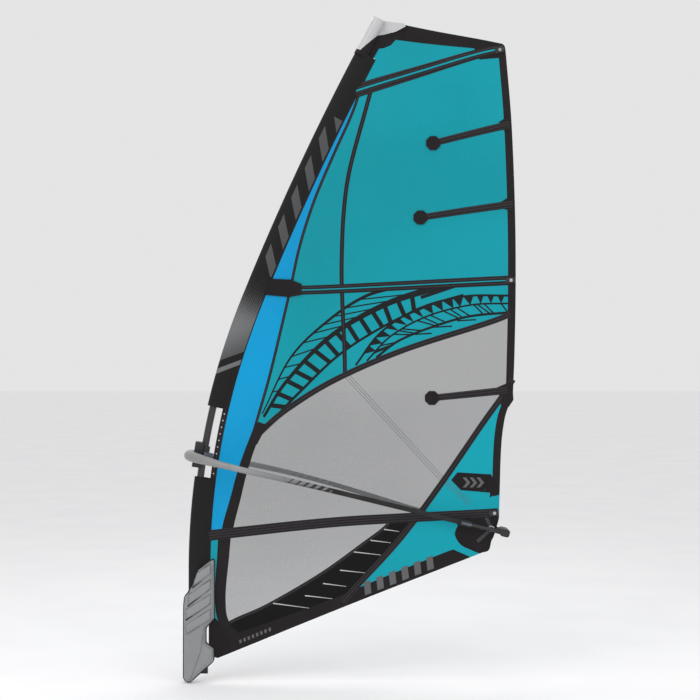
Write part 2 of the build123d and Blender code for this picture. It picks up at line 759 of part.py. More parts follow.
# --- Everything, by node name ---------------------------------------------------------------
def build_nodes():
    plain = cloth_layer(-cloth / 2, cloth / 2)
    pocket_skin = cloth_layer(-pocket_thickness / 2, pocket_thickness / 2)
    pocket_hollow = cloth_layer(-4.6, 4.6)
    batten_layer = cloth_layer(-batten_thickness / 2, batten_thickness / 2)
    fitting_layer = cloth_layer(-9.0, 9.0)
    mini_skin = cloth_layer(-5.6, -cloth / 2)
    mini_hollow = cloth_layer(-4.4, -1.8)
    mini_layer = cloth_layer(-4.1, -2.1)
    webbing_layers = [cloth_layer(-2.8, -cloth / 2), cloth_layer(cloth / 2, 2.8)]

    nodes = {name: cut_cloth(region, plain) for name, region in sail_regions().items()}
    nodes["luff_sleeve_upper"] = sleeve_tube(cutout_high, sleeve_top_height)
    nodes["luff_sleeve_lower"] = luff_sleeve_lower(plain)
    nodes["head_cap"] = head_cap()
    nodes["batten_pockets"] = [batten_pocket(name, pocket_skin, pocket_hollow) for name in batten_lines]
    nodes["batten_end_fittings"] = [
        cut_cloth(end_regions[name] & whole_sail, fitting_layer) - screw_seat(name) for name in batten_lines]
    nodes["tension_screws"] = [batten_screw(name) for name in batten_lines]
    tunnels = [mini_outline(line, 15, False) for line in mini_batten_lines]
    nodes["mini_batten_pockets"] = [
        cut_cloth(mini_outline(line, mini_pocket_width, True), mini_skin) - cut_cloth(tunnel, mini_hollow)
        for line, tunnel in zip(mini_batten_lines, tunnels)]
    nodes["batten_rods"] = [batten(name, batten_layer) for name in batten_lines]
    nodes["batten_rods"] += [
        cut_cloth(mini_outline(line, 14, False), mini_layer) for line in mini_batten_lines]
    nodes["clew_ring"] = clew_ring()
    nodes["clew_webbing"] = clew_webbing(webbing_layers)

    nodes["mast_bottom"] = mast_bottom()
    nodes["mast_top"] = mast_top()
    nodes["mast_ferrule"] = mast_ferrule()
    nodes["extension_tube"] = extension_tube()
    nodes["extension_collar"] = extension_collar()
    nodes["extension_base"] = extension_base()
    nodes["release_button"] = release_button()
    nodes["base_sheave"] = across_sheave(sheave_x, 0, base_sheave_z)
    nodes["tack_block"] = tack_block()
    nodes["tack_sheave_port"] = across_sheave(sheave_x, -tack_sheave_y, tack_sheave_z)
    nodes["tack_sheave_starboard"] = across_sheave(sheave_x, tack_sheave_y, tack_sheave_z)
    nodes["downhaul_line"] = downhaul_line()
    nodes["tack_fairing"] = tack_fairing()
    nodes["fairing_ribs"] = fairing_ribs()

    nodes["boom_front_loop"] = boom_front_loop(4.0)
    nodes["boom_head"] = boom_head(boom_front_loop(0.0))
    nodes["head_liner"] = head_liner()
    nodes["head_jaw"] = head_jaw()
    nodes["head_lever"] = head_lever()
    nodes["pins_and_axles"] = boom_pins() + sheave_axles()
    for side, label in ((-1, "port"), (1, "starboard")):
        nodes[f"boom_arm_{label}"] = boom_arm(side)
        nodes[f"tail_clip_{label}"] = tail_clip(side)
        nodes[f"clip_lever_{label}"] = clip_lever(side)
        nodes[f"tail_sheave_{label}"] = tail_sheave_plane(side) * sheave(outhaul_radius)
    nodes["tail_tubes"] = [tail_tube(-1), tail_tube(1)]
    nodes["tail_body"] = tail_body()
    nodes["tail_axles"] = tail_axles()
    nodes["outhaul_line"] = outhaul_line()
    return nodes


os.makedirs("parts", exist_ok=True)
for node_name, shape in build_nodes().items():
    pieces = shape if isinstance(shape, (list, tuple)) else [shape]
    solids = [solid for piece in pieces for solid in piece.solids()]
    whole = solids[0] if len(solids) == 1 else Compound(solids)
    export_step(whole, f"parts/{node_name}.step")
    print(node_name, len(solids), round(sum(solid.volume for solid in solids)))
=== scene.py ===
import math

import bpy
import numpy as np
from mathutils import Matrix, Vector, geometry, noise


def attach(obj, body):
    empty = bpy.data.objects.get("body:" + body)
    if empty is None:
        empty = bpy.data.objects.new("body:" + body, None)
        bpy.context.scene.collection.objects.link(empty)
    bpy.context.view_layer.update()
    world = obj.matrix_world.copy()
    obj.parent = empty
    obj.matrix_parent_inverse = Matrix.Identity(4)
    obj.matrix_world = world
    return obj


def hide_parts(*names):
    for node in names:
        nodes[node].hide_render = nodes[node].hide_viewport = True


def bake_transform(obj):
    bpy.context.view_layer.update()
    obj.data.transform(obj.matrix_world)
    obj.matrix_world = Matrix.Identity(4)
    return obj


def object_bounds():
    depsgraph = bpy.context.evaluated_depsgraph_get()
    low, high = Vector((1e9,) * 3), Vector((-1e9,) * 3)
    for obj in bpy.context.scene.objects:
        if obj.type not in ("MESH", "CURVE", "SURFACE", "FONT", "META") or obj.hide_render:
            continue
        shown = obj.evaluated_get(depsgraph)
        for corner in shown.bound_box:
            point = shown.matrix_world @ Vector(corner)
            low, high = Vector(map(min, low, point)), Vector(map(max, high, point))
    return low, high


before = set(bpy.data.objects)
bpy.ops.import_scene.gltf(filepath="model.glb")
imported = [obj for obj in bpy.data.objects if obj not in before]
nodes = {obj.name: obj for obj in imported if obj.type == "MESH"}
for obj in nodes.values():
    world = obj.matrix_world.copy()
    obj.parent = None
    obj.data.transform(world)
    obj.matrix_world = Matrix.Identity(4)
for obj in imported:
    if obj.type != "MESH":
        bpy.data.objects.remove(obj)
cad_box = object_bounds()

# Metres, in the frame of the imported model: the origin is the mast-foot socket, +Z goes up along the
# mast base, +X goes aft to the clew, and the sail's belly is towards +Y.

# --- The rig's line ------------------------------------------------------------------------
STRAIGHT_TOP = 0.6
LOWER_BEND = 4.19
UPPER_BEND = 15.7
BEND_ANGLE = math.radians(22.0)
BEND_END = STRAIGHT_TOP + LOWER_BEND * math.sin(BEND_ANGLE)
SEAM_OFFSET = 0.088
DRAFT = 0.068
HEAD_TWIST = 0.11
CUTOUT_LOW = 1.143
CUTOUT_HIGH = 1.552
SLEEVE_FOOT = 0.43
SLEEVE_TOP = 3.59
PORT = -1
STARBOARD = 1


def mast_axis(z):
    """X of the mast's axis and its lean in radians, at a height."""
    if z <= STRAIGHT_TOP:
        return 0.0, 0.0
    if z <= BEND_END:
        lean = math.asin((z - STRAIGHT_TOP) / LOWER_BEND)
        return LOWER_BEND * (1 - math.cos(lean)), lean
    lean = math.asin(math.sin(BEND_ANGLE) + (z - BEND_END) / UPPER_BEND)
    x = LOWER_BEND * (1 - math.cos(BEND_ANGLE))
    return x + UPPER_BEND * (math.cos(BEND_ANGLE) - math.cos(lean)), lean


def beside_mast(z, offset):
    x, lean = mast_axis(z)
    return (x + offset * math.cos(lean), z - offset * math.sin(lean))


def sail_side(x, z):
    """How far the cloth stands off the mast's plane, the same surface as the CAD panels."""
    seam_x = beside_mast(min(max(z, 0.0), 3.7), SEAM_OFFSET)[0]
    share = min(max((x - seam_x) / (1.85 - seam_x), 0.0), 1.0)
    fullness = math.sin(math.pi * min(max((z + 0.3) / 4.7, 0.0), 1.0))
    belly = share**2 * (1 - share) ** 3 / (0.4**2 * 0.6**3)
    fall_off = max(z - 1.5, 0.0) / 2.2
    return DRAFT * fullness * belly + HEAD_TWIST * fall_off**2 * share**2


def smooth(points, step=0.02):
    """Points along a smooth curve through a few given ones."""
    p = [Vector(q) for q in points]
    p = [2 * p[0] - p[1]] + p + [2 * p[-1] - p[-2]]
    line = []
    for a, b, c, d in zip(p, p[1:], p[2:], p[3:]):
        count = max(1, round((c - b).length / step))
        for i in range(count):
            t = i / count
            line.append(0.5 * (2 * b + (c - a) * t + (2 * a - 5 * b + 4 * c - d) * t**2
                               + (3 * b - a - 3 * c + d) * t**3))
    line.append(p[-2])
    return [tuple(q) for q in line]


def straight(points, step=0.02):
    """Points along straight runs."""
    line = []
    for a, b in zip(points, points[1:]):
        count = max(1, round(math.dist(a, b) / step))
        line += [tuple(Vector(a).lerp(Vector(b), i / count)) for i in range(count)]
    return line + [tuple(points[-1])]


# --- Edges and seams of the sail, as (x, z) ------------------------------------------------
LUFF = [beside_mast(z, SEAM_OFFSET) for z in (0.6, 0.9, 1.2, 1.5, 1.8, 2.1, 2.4, 2.7, 3.0, 3.3, 3.604)]
LEECH = [(1.816, 3.612), (1.8405, 3.3), (1.853, 3.04), (1.862, 2.72), (1.865, 2.45), (1.863, 2.15),
         (1.856, 1.85), (1.847, 1.625)]
LOWER_LEECH = [(1.847, 1.625), (1.82, 1.55), (1.797, 1.47), (1.778, 1.3), (1.766, 0.905)]
CLEW_EDGE = [(1.766, 0.905), (1.757, 0.87), (1.736, 0.8), (1.722, 0.772), (1.707, 0.719), (1.665, 0.703)]
TACK_EDGE = [(0.136, 0.093), (0.111, 0.099), (SEAM_OFFSET, 0.112)]
HEAD_EDGE = [(1.215, 3.768), (1.796, 3.674)]
HEAD_CORNER = [(1.796, 3.674), (1.806, 3.666), (1.812, 3.65), (1.816, 3.612)]
BLUE_SEAM = [(1.0, 3.52), (0.922, 3.271), (0.806, 3.01), (0.696, 2.749), (0.612, 2.488), (0.554, 2.227),
             (0.493, 1.966), (0.429, 1.705), (0.354, 1.444), (0.307, 1.27), (0.252, 1.096), (0.206, 0.922),
             (0.188, 0.6), (0.172, 0.4), (0.18, 0.2)]
MIDDLE_SEAM = [(1.044, 3.46), (0.992, 3.271), (0.899, 2.923), (0.864, 2.662), (0.853, 2.36), (0.858, 2.14),
               (0.872, 1.78), (0.869, 1.2)]
WINDOW_TOP = [(0.3, 1.33), (0.38, 1.4), (0.531, 1.531), (0.815, 1.705), (1.215, 1.879), (1.749, 2.053),
              (1.9, 2.13)]
WINDOW_FOOT = [(0.13, 0.25), (0.235, 0.313), (0.432, 0.4), (0.734, 0.574), (0.977, 0.748), (1.11, 0.85),
               (1.18, 0.94), (1.3, 1.07)]
DIAGONAL = [(1.88, 1.76), (1.789, 1.618), (1.665, 1.444), (1.427, 1.096), (1.19, 0.777), (0.931, 0.493),
            (0.86, 0.41)]
HEAD_BATTEN = [(0.93, 3.378), (1.28, 3.494), (1.64, 3.606), (1.86, 3.66)]
MIDDLE_BATTEN = [(0.38, 2.229), (0.623, 2.227), (1.16, 2.252), (1.694, 2.277), (1.9, 2.287)]
LOWER_BATTEN = [(0.04, 0.796), (0.216, 0.818), (0.786, 0.873), (1.18, 0.9), (1.8, 0.938)]
MINI_BATTENS = [[(1.387, 3.086), (1.838, 3.196)], [(1.313, 2.652), (1.85, 2.729)],
                [(1.378, 1.6), (1.815, 1.646)]]
CLEW_PATCH = [(1.528, 0.861), (1.511, 0.824), (1.515, 0.791), (1.548, 0.746), (1.604, 0.719), (1.65, 0.7)]
TACK_PATCH = [(0.117, 0.33), (0.183, 0.248), (0.206, 0.186), (0.214, 0.1)]
FOOT_BAND = [(0.088, 0.33), (0.235, 0.262), (0.293, 0.252), (0.786, 0.425), (0.93, 0.487), (1.48, 0.715),
             (1.604, 0.74)]
LEECH_TAPE = 0.045
SEAM_TAPE = 0.024


def sail_outline():
    head = [beside_mast(3.625, 0.039), beside_mast(3.795, 0.039)]
    edge = straight([(SEAM_OFFSET, 0.112), LUFF[0]]) + smooth(LUFF)[1:]
    edge += straight([LUFF[-1]] + head + HEAD_EDGE)[1:] + smooth(HEAD_CORNER, 0.01)[1:]
    edge += smooth(LEECH)[1:] + smooth(LOWER_LEECH)[1:] + smooth(CLEW_EDGE, 0.008)[1:]
    edge += straight([CLEW_EDGE[-1], TACK_EDGE[0]])[1:] + straight(TACK_EDGE)[1:-1]
    return edge


def along_x(points):
    """Height of a seam at x."""
    line = sorted(smooth(points))
    xs, zs = zip(*line)
    return lambda x: float(np.interp(x, xs, zs))


def along_z(points):
    """X of a seam at a height."""
    line = sorted((z, x) for x, z in smooth(points))
    zs, xs = zip(*line)
    return lambda z: float(np.interp(z, zs, xs))


def inside(polygon, x, z):
    hit = False
    for (ax, az), (bx, bz) in zip(polygon, polygon[1:] + polygon[:1]):
        if (az > z) != (bz > z) and x < (bx - ax) * (z - az) / (bz - az) + ax:
            hit = not hit
    return hit


leech_x = along_z(LEECH + LOWER_LEECH[1:] + CLEW_EDGE[1:4])
luff_x = along_z([(SEAM_OFFSET, 0.0), (SEAM_OFFSET, 0.5)] + LUFF)
blue_x = along_z(BLUE_SEAM)
middle_x = along_z(MIDDLE_SEAM)
window_top_z = along_x(WINDOW_TOP)
window_foot_z = along_x(WINDOW_FOOT)
diagonal_x = along_z(DIAGONAL)
head_batten_z = along_x(HEAD_BATTEN)
middle_batten_z = along_x(MIDDLE_BATTEN)
lower_batten_z = along_x(LOWER_BATTEN)
foot_band_z = along_x(FOOT_BAND)
CLEW_REGION = CLEW_PATCH + [(1.9, 0.68), (1.9, 0.925), (1.65, 0.925), (1.528, 0.905)]
TACK_REGION = TACK_PATCH + [(0.214, 0.0), (0.0, 0.0), (0.0, 0.33)]


def panel_at(x, z):
    """Which sail panel a point belongs to."""
    if inside(CLEW_REGION, x, z):
        return "clew_patch"
    if inside(TACK_REGION, x, z):
        return "tack_patch"
    if 1.05 < z < 3.64 and x > leech_x(z) - LEECH_TAPE:
        return "leech_tape"
    if z < 0.8 and z < foot_band_z(x):
        return "foot_band"
    if x > 0.93 and z > head_batten_z(x):
        return "head_panel"
    ahead = x < blue_x(z)
    if z > middle_batten_z(x):
        if ahead:
            return "luff_panel_upper"
        return "upper_front_panel" if x < middle_x(z) else "upper_rear_panel"
    if z > lower_batten_z(x):
        if ahead:
            return "luff_panel_lower"
        if x > 0.3 and z > window_top_z(x):
            return "middle_front_panel" if x < middle_x(z) else "middle_rear_panel"
        return "clew_panel_upper" if x > diagonal_x(z) else "window_upper"
    if ahead:
        return "luff_panel_foot"
    if x > diagonal_x(z):
        return "clew_panel_lower"
    return "foot_panel" if z < window_foot_z(x) else "window_lower"


# --- Cloth relief --------------------------------------------------------------------------
def cloth_relief(x, z):
    """Small out-of-plane shape of a loaded sail: scallops between battens and tension creases."""
    from_luff = max(x - luff_x(z), 0.0)
    creases = math.sin(z * 58 + 3 * noise.noise((x * 2, 0, z * 3))) * math.exp(-from_luff / 0.1)
    to_clew = math.hypot(x - 1.72, z - 0.84)
    angle = math.atan2(z - 0.84, 1.72 - x)
    fan = math.sin(angle * 34 + 2 * noise.noise((x, 1, z))) * math.exp(-((to_clew - 0.25) / 0.22) ** 2)
    to_tack = math.hypot(x - 0.15, z - 0.15)
    tack_angle = math.atan2(z - 0.15, x - 0.15)
    tack_fan = math.sin(tack_angle * 30) * math.exp(-((to_tack - 0.22) / 0.18) ** 2)
    soft = noise.noise((x * 1.3, 5, z * 1.1)) + 0.35 * noise.noise((x * 5, 9, z * 3))
    hold = min(from_luff / 0.06, 1.0) * min(max(leech_x(z) - x, 0.0) / 0.05, 1.0)
    return hold * (0.0006 * creases + 0.0012 * fan + 0.001 * tack_fan + 0.0022 * soft)


def on_sail(x, z, lift=0.0):
    """A point of the sail's surface, lifted to starboard by lift."""
    return Vector((x, sail_side(x, z) + cloth_relief(x, z) + lift, z))


# --- Mesh building -------------------------------------------------------------------------
def add_object(name, verts, faces, material, smooth_faces=True):
    mesh = bpy.data.meshes.new(name)
    mesh.from_pydata([tuple(v) for v in verts], [], faces)
    mesh.validate()
    mesh.update()
    mesh.polygons.foreach_set("use_smooth", [smooth_faces] * len(mesh.polygons))
    obj = bpy.data.objects.new(name, mesh)
    bpy.context.scene.collection.objects.link(obj)
    obj.data.materials.append(material)
    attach(obj, "rig")
    return obj


def add_uv(obj, uvs):
    """Gives a piece's mesh a UV for each of its points."""
    layer = obj.data.uv_layers.new(name="UVMap")
    for loop in obj.data.loops:
        layer.data[loop.index].uv = uvs[loop.vertex_index]
    return obj


def triangulate(outline, seams, grid):
    """Triangles over an outline, with seams as edges and an even spread of points within."""
    verts = []
    edges = []
    for closed, line in [(True, outline)] + [(False, seam) for seam in seams]:
        first = len(verts)
        verts += [Vector(p) for p in line]
        edges += [(first + i, first + i + 1) for i in range(len(line) - 1)]
        if closed:
            edges.append((len(verts) - 1, first))
    xs, zs = zip(*outline)
    rows = int((max(zs) - min(zs)) / grid)
    columns = int((max(xs) - min(xs)) / grid)
    for j in range(rows):
        for i in range(columns):
            x = min(xs) + (i + 0.5 + 0.5 * (j % 2)) * grid
            z = min(zs) + (j + 0.5) * grid
            if inside(outline, x, z):
                verts.append(Vector((x, z)))
    points, _, faces, _, _, _ = geometry.delaunay_2d_cdt(verts, edges, [], 0, 0.0004)
    kept = []
    for face in faces:
        x = sum(points[i][0] for i in face) / 3
        z = sum(points[i][1] for i in face) / 3
        if inside(outline, x, z):
            kept.append((face, x, z))
    return points, kept


def add_side(verts, faces, points, kept, side, place):
    """One side of a filled outline, with its triangles facing outwards."""
    first = len(verts)
    verts += [place(p[0], p[1]) for p in points]
    for face, _, _ in kept:
        shifted = tuple(first + i for i in face)
        faces.append(shifted if side == PORT else shifted[::-1])


def part_mesh(points, faces, place):
    """Only the points that some faces use, placed in space, and the faces renumbered."""
    used = sorted({i for face in faces for i in face})
    index = {old: new for new, old in enumerate(used)}
    verts = [place(points[i][0], points[i][1]) for i in used]
    return verts, [tuple(index[i] for i in face) for face in faces]


FILL_OF_SLANTED = 0.9
MOST_EMPTY_BOX = 0.35


def declare_sheet(obj):
    """Works out a cloth piece's flat size from its own mesh; the size is not kept or passed on.

    Width and length are the sides of its box. Where that box is mostly empty, as round a long slanted
    piece, length is its diagonal and width isn't measured: it is what gives the area at an assumed fill.
    """
    mesh = obj.data
    area = sum(polygon.area for polygon in mesh.polygons)
    xs = [v.co.x for v in mesh.vertices]
    zs = [v.co.z for v in mesh.vertices]
    sides = sorted((max(xs) - min(xs), max(zs) - min(zs)))
    if area < MOST_EMPTY_BOX * sides[0] * sides[1]:
        sides[1] = math.hypot(*sides)
        sides[0] = area / FILL_OF_SLANTED / sides[1]


def ribbon(name, lines, width, material, lift=0.0009, end_width=None, crown=0.0, sides=(PORT, STARBOARD)):
    """Flat tape laid along lines on the sail, on one or both faces, with its length as its UV."""
    verts, faces, uvs = [], [], []
    across = (-1.0, -0.94, -0.45, 0.0, 0.45, 0.94, 1.0)
    for line in lines:
        last = len(line) - 1
        for side in sides:
            first = len(verts)
            length = 0.0
            for i, (x, z) in enumerate(line):
                ax, az = line[max(i - 1, 0)]
                bx, bz = line[min(i + 1, last)]
                run = math.hypot(bx - ax, bz - az)
                half = 0.5 * (width + ((end_width or width) - width) * i / last)
                if i:
                    length += math.dist(line[i - 1], line[i])
                for v in across:
                    px = x - (bz - az) / run * half * v
                    pz = z + (bx - ax) / run * half * v
                    rise = (lift if abs(v) < 1 else 0.0002) + crown * (1 - v * v)
                    verts.append(on_sail(px, pz, side * rise))
                    uvs.append((length, half * v))
            count = len(across)
            for i in range(last):
                for k in range(count - 1):
                    a = first + i * count + k
                    quad = (a, a + 1, a + count + 1, a + count)
                    faces.append(quad if side == PORT else quad[::-1])
    return add_uv(add_object(name, verts, faces, material), uvs)


def patch(name, outlines, material, lift=0.001, sides=(PORT, STARBOARD), grid=0.03):
    """Flat pieces laid on the sail: filled outlines on one or both faces, with an edge wall."""
    verts, faces = [], []
    for outline in outlines:
        edge = straight(list(outline) + [outline[0]], 0.03)[:-1]
        points, kept = triangulate(edge, [], grid)
        for side in sides:
            add_side(verts, faces, points, kept, side, lambda x, z: on_sail(x, z, side * lift))
            wall = len(verts)
            verts += [on_sail(x, z, side * lift) for x, z in edge]
            verts += [on_sail(x, z, side * 0.0002) for x, z in edge]
            count = len(edge)
            for i in range(count):
                j = (i + 1) % count
                faces.append((wall + i, wall + j, wall + count + j, wall + count + i))
    return add_object(name, verts, faces, material, smooth_faces=False)


def tube(name, line, radius, material, closed=False):
    """A round bar along points in space."""
    curve = bpy.data.curves.new(name, "CURVE")
    curve.dimensions = "3D"
    curve.bevel_depth = radius
    curve.bevel_resolution = 3
    curve.use_fill_caps = True
    spline = curve.splines.new("NURBS")
    spline.points.add(len(line) - 1)
    for point, place in zip(spline.points, line):
        point.co = (*place, 1.0)
    spline.order_u = 3
    spline.use_endpoint_u = not closed
    spline.use_cyclic_u = closed
    spline.resolution_u = 8
    obj = bpy.data.objects.new(name, curve)
    bpy.context.scene.collection.objects.link(obj)
    curve.materials.append(material)
    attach(obj, "rig")
    return obj


# --- Materials -----------------------------------------------------------------------------
def linear(red, green, blue):
    """A colour from its 0 to 255 display values."""
    return tuple(((c / 255 + 0.055) / 1.055) ** 2.4 if c > 10 else c / 255 / 12.92
                 for c in (red, green, blue)) + (1.0,)


FULL_TURN = 6.28


class Look:
    """One node material: a Principled shader and the few nodes that feed it."""

    def __init__(self, name, color, roughness, metallic=0.0, coat=0.0, sheen=0.0, alpha=1.0, gloss=0.4):
        self.material = bpy.data.materials.new(name)
        self.material.use_nodes = True
        self.tree = self.material.node_tree
        self.shader = self.tree.nodes["Principled BSDF"]
        self.shader.inputs["Base Color"].default_value = color
        self.shader.inputs["Roughness"].default_value = roughness
        self.shader.inputs["Metallic"].default_value = metallic
        self.shader.inputs["Coat Weight"].default_value = coat
        self.shader.inputs["Coat Roughness"].default_value = 0.2
        self.shader.inputs["Specular IOR Level"].default_value = gloss
        self.shader.inputs["Sheen Weight"].default_value = sheen
        self.shader.inputs["Alpha"].default_value = alpha
        self.color = color
        self.bumps = []

    def node(self, kind, **values):
        node = self.tree.nodes.new(kind)
        for key, value in values.items():
            setattr(node, key, value)
        return node

    def join(self, source, target):
        self.tree.links.new(source, target)

    def place(self, kind="Object"):
        return self.node("ShaderNodeTexCoord").outputs[kind]

    def scaled(self, vector, scale):
        node = self.node("ShaderNodeMapping")
        node.inputs["Scale"].default_value = scale
        self.join(vector, node.inputs["Vector"])
        return node.outputs[0]

    def math(self, operation, a, b=0.0):
        node = self.node("ShaderNodeMath", operation=operation)
        for socket, value in zip(node.inputs[:2], (a, b)):
            if isinstance(value, (int, float)):
                socket.default_value = value
            else:
                self.join(value, socket)
        return node.outputs[0]

    def times(self, a, b):
        return self.math("MULTIPLY", a, b)

    def plus(self, a, b):
        return self.math("ADD", a, b)

    def minus(self, a, b):
        return self.math("SUBTRACT", a, b)

    def sine(self, angle):
        return self.math("SINE", angle)

    def saw(self, value, height):
        """Up to a height and back down, over and over."""
        return self.math("PINGPONG", value, height)

    def ramp(self, value, low, high, to_low=0.0, to_high=1.0):
        node = self.node("ShaderNodeMapRange")
        node.interpolation_type = "SMOOTHSTEP"
        for socket, number in zip(node.inputs[1:5], (low, high, to_low, to_high)):
            socket.default_value = number
        self.join(value, node.inputs["Value"])
        return node.outputs[0]

    def noise(self, scale, detail, stretch=(1, 1, 1)):
        node = self.node("ShaderNodeTexNoise")
        node.inputs["Scale"].default_value = scale
        node.inputs["Detail"].default_value = detail
        self.join(self.scaled(self.place(), stretch), node.inputs["Vector"])
        return node.outputs["Fac"]

    def axes(self, vector):
        node = self.node("ShaderNodeSeparateXYZ")
        self.join(vector, node.inputs[0])
        return node.outputs

    def mix(self, factor, other):
        """Blends another colour over the colour so far, by a factor."""
        node = self.node("ShaderNodeMix", data_type="RGBA")
        self.join(factor, node.inputs[0])
        for socket, color in ((node.inputs[6], self.color), (node.inputs[7], other)):
            if isinstance(color, tuple):
                socket.default_value = color
            else:
                self.join(color, socket)
        self.color = node.outputs[2]

    def bump(self, height, distance, strength=1.0):
        node = self.node("ShaderNodeBump")
        node.inputs["Distance"].default_value = distance
        node.inputs["Strength"].default_value = strength
        self.join(height, node.inputs["Height"])
        if self.bumps:
            self.join(self.bumps[-1], node.inputs["Normal"])
        self.bumps.append(node.outputs[0])

    def rough(self, factor, low, high):
        self.join(self.ramp(factor, 0.3, 0.7, low, high), self.shader.inputs["Roughness"])

    def window(self, value, rise, fall):
        """1 between a rise and a fall, each from where to where, and 0 outside."""
        return self.times(self.ramp(value, *rise), self.ramp(value, *fall, 1.0, 0.0))

    def weave(self, x, y, z, pitch):
        """Threads over and under one another, from -1 to 1."""
        warp = self.sine(self.times(self.plus(x, y), pitch))
        weft = self.sine(self.times(z, pitch))
        return self.times(warp, weft)

    def threads(self, coordinate, spacing, width):
        """Lines one spacing apart along a coordinate: 1 on a line, 0 between."""
        wave = self.saw(coordinate, spacing / 2)
        return self.ramp(wave, width * 0.5, width * 0.5 + spacing * 0.04 + 0.0001, 1.0, 0.0)

    def done(self):
        self.join(self.color, self.shader.inputs["Base Color"])
        if self.bumps:
            self.join(self.bumps[-1], self.shader.inputs["Normal"])
        return self.material


def film(name, color, deep, light, alpha=1.0, ripple=0.16):
    """Laminated sail film: tinted layers over a scrim of straight threads, with a satin face."""
    look = Look(name, color, 0.42, alpha=alpha, gloss=0.16)
    look.mix(look.ramp(look.noise(0.9, 2.0), 0.35, 0.68), deep)
    x, _, z = look.axes(look.place())
    grain = look.noise(90, 3.0, stretch=(1, 1, 0.25))
    look.mix(look.ramp(grain, 0.45, 0.75, 0.0, 0.1), light)
    for coordinate in (x, z):
        look.mix(look.times(look.threads(coordinate, 0.0085, 0.0007), 0.2), light)
    slant = look.plus(x, look.times(z, 0.55))
    look.mix(look.times(look.threads(slant, 0.034, 0.0009), 0.16), deep)
    look.bump(grain, 0.0004, 0.35)
    look.bump(look.noise(7.0, 4.0, stretch=(1, 1, 2.2)), 0.004, ripple)
    look.rough(look.noise(3.0, 5.0), 0.38, 0.5)
    return look.done()


def woven(name, color, light, weave=0.0016, roughness=0.78, sheen=0.05, stitches=False):
    """Coated polyester cloth or tape, with a plain weave and, along tapes, rows of zigzag stitches."""
    look = Look(name, color, roughness, sheen=sheen, gloss=0.16)
    x, y, z = look.axes(look.place())
    cloth = look.weave(x, y, z, FULL_TURN / weave)
    look.mix(look.ramp(cloth, -0.9, 0.9, 0.0, 0.16), light)
    look.mix(look.ramp(look.noise(4.0, 5.0), 0.4, 0.75, 0.0, 0.2), light)
    look.bump(cloth, 0.0003, 0.4)
    look.bump(look.noise(30, 3.0), 0.0012, 0.2)
    if stitches:
        u, v, _ = look.axes(look.place("UV"))
        swing = look.times(look.saw(u, 0.004), 0.8)
        row = look.math("ABSOLUTE", look.minus(look.saw(v, 0.0075), swing))
        thread = look.ramp(row, 0.0004, 0.0009, 1.0, 0.0)
        look.mix(look.times(thread, 0.55), linear(96, 96, 100))
        look.bump(thread, 0.0008, 0.5)
    return look.done()


def moulded(name, color, light, roughness=0.5, grain=900, coat=0.0):
    """Moulded plastic or foam: fine grain, slow tone changes and slightly rubbed high spots."""
    look = Look(name, color, roughness, coat=coat)
    look.mix(look.ramp(look.noise(6.0, 5.0), 0.35, 0.7, 0.0, 0.22), light)
    speck = look.noise(grain, 2.0)
    look.mix(look.ramp(speck, 0.5, 0.75, 0.0, 0.12), light)
    edge = look.node("ShaderNodeNewGeometry").outputs["Pointiness"]
    look.mix(look.ramp(edge, 0.52, 0.6, 0.0, 0.35), light)
    look.bump(speck, 0.0004, 0.35)
    look.rough(look.noise(20, 4.0), roughness - 0.08, roughness + 0.1)
    return look.done()


def brushed(name, color, dark, roughness):
    """Worked metal with fine lines along it and faint smears."""
    look = Look(name, color, roughness, metallic=1.0)
    lines = look.noise(40, 4.0, stretch=(1, 60, 60))
    look.mix(look.ramp(lines, 0.35, 0.7, 0.0, 0.35), dark)
    look.bump(lines, 0.0002, 0.25)
    look.rough(look.noise(15, 5.0), roughness - 0.06, roughness + 0.16)
    return look.done()


def carbon_tube():
    """Mast laminate: unidirectional tow under a clear matt finish, with a faint spiral wrap."""
    look = Look("mast_laminate", linear(27, 27, 29), 0.38, coat=0.35)
    x, y, z = look.axes(look.place())
    wrap = look.sine(look.times(look.plus(z, look.times(y, 3.0)), 420))
    look.mix(look.ramp(wrap, 0.2, 1.0, 0.0, 0.35), linear(52, 52, 55))
    look.bump(wrap, 0.0002, 0.3)
    look.rough(look.noise(12, 4.0), 0.32, 0.46)
    return look.done()


def boom_sheath():
    """Boom grip: pale front half that fades to black, slanted diamonds, and fine moulded ribs."""
    look = Look("boom_sheath", linear(146, 147, 148), 0.5)
    x, y, z = look.axes(look.place())
    fade = look.ramp(x, 0.18, 0.62)
    look.mix(look.times(fade, 0.55), linear(92, 92, 94))
    slant = look.plus(x, look.times(z, -1.6))
    bars = look.saw(slant, 0.03)
    zone = look.window(x, (0.52, 0.56), (0.8, 0.83))
    width = look.ramp(x, 0.52, 0.82, 0.004, 0.02)
    bar = look.math("LESS_THAN", bars, width)
    look.mix(look.times(bar, zone), linear(38, 37, 39))
    low_half = look.plus(look.times(x, 0.2438), z)
    lower = look.ramp(look.minus(low_half, 1.2765), -0.0015, 0.0015, 1.0, 0.0)
    look.mix(look.times(look.times(lower, zone), 0.35), linear(30, 30, 32))
    look.mix(look.ramp(x, 0.795, 0.805), linear(22, 21, 22))
    ribs = look.sine(look.times(x, FULL_TURN / 0.004))
    rubber = look.noise(700, 2.0)
    look.mix(look.ramp(look.noise(9, 4.0), 0.4, 0.8, 0.0, 0.1), linear(80, 80, 82))
    look.bump(ribs, 0.0004, 0.35)
    look.bump(rubber, 0.0004, 0.3)
    look.rough(look.noise(20, 4.0), 0.52, 0.72)
    return look.done()


DOT = 0.0125


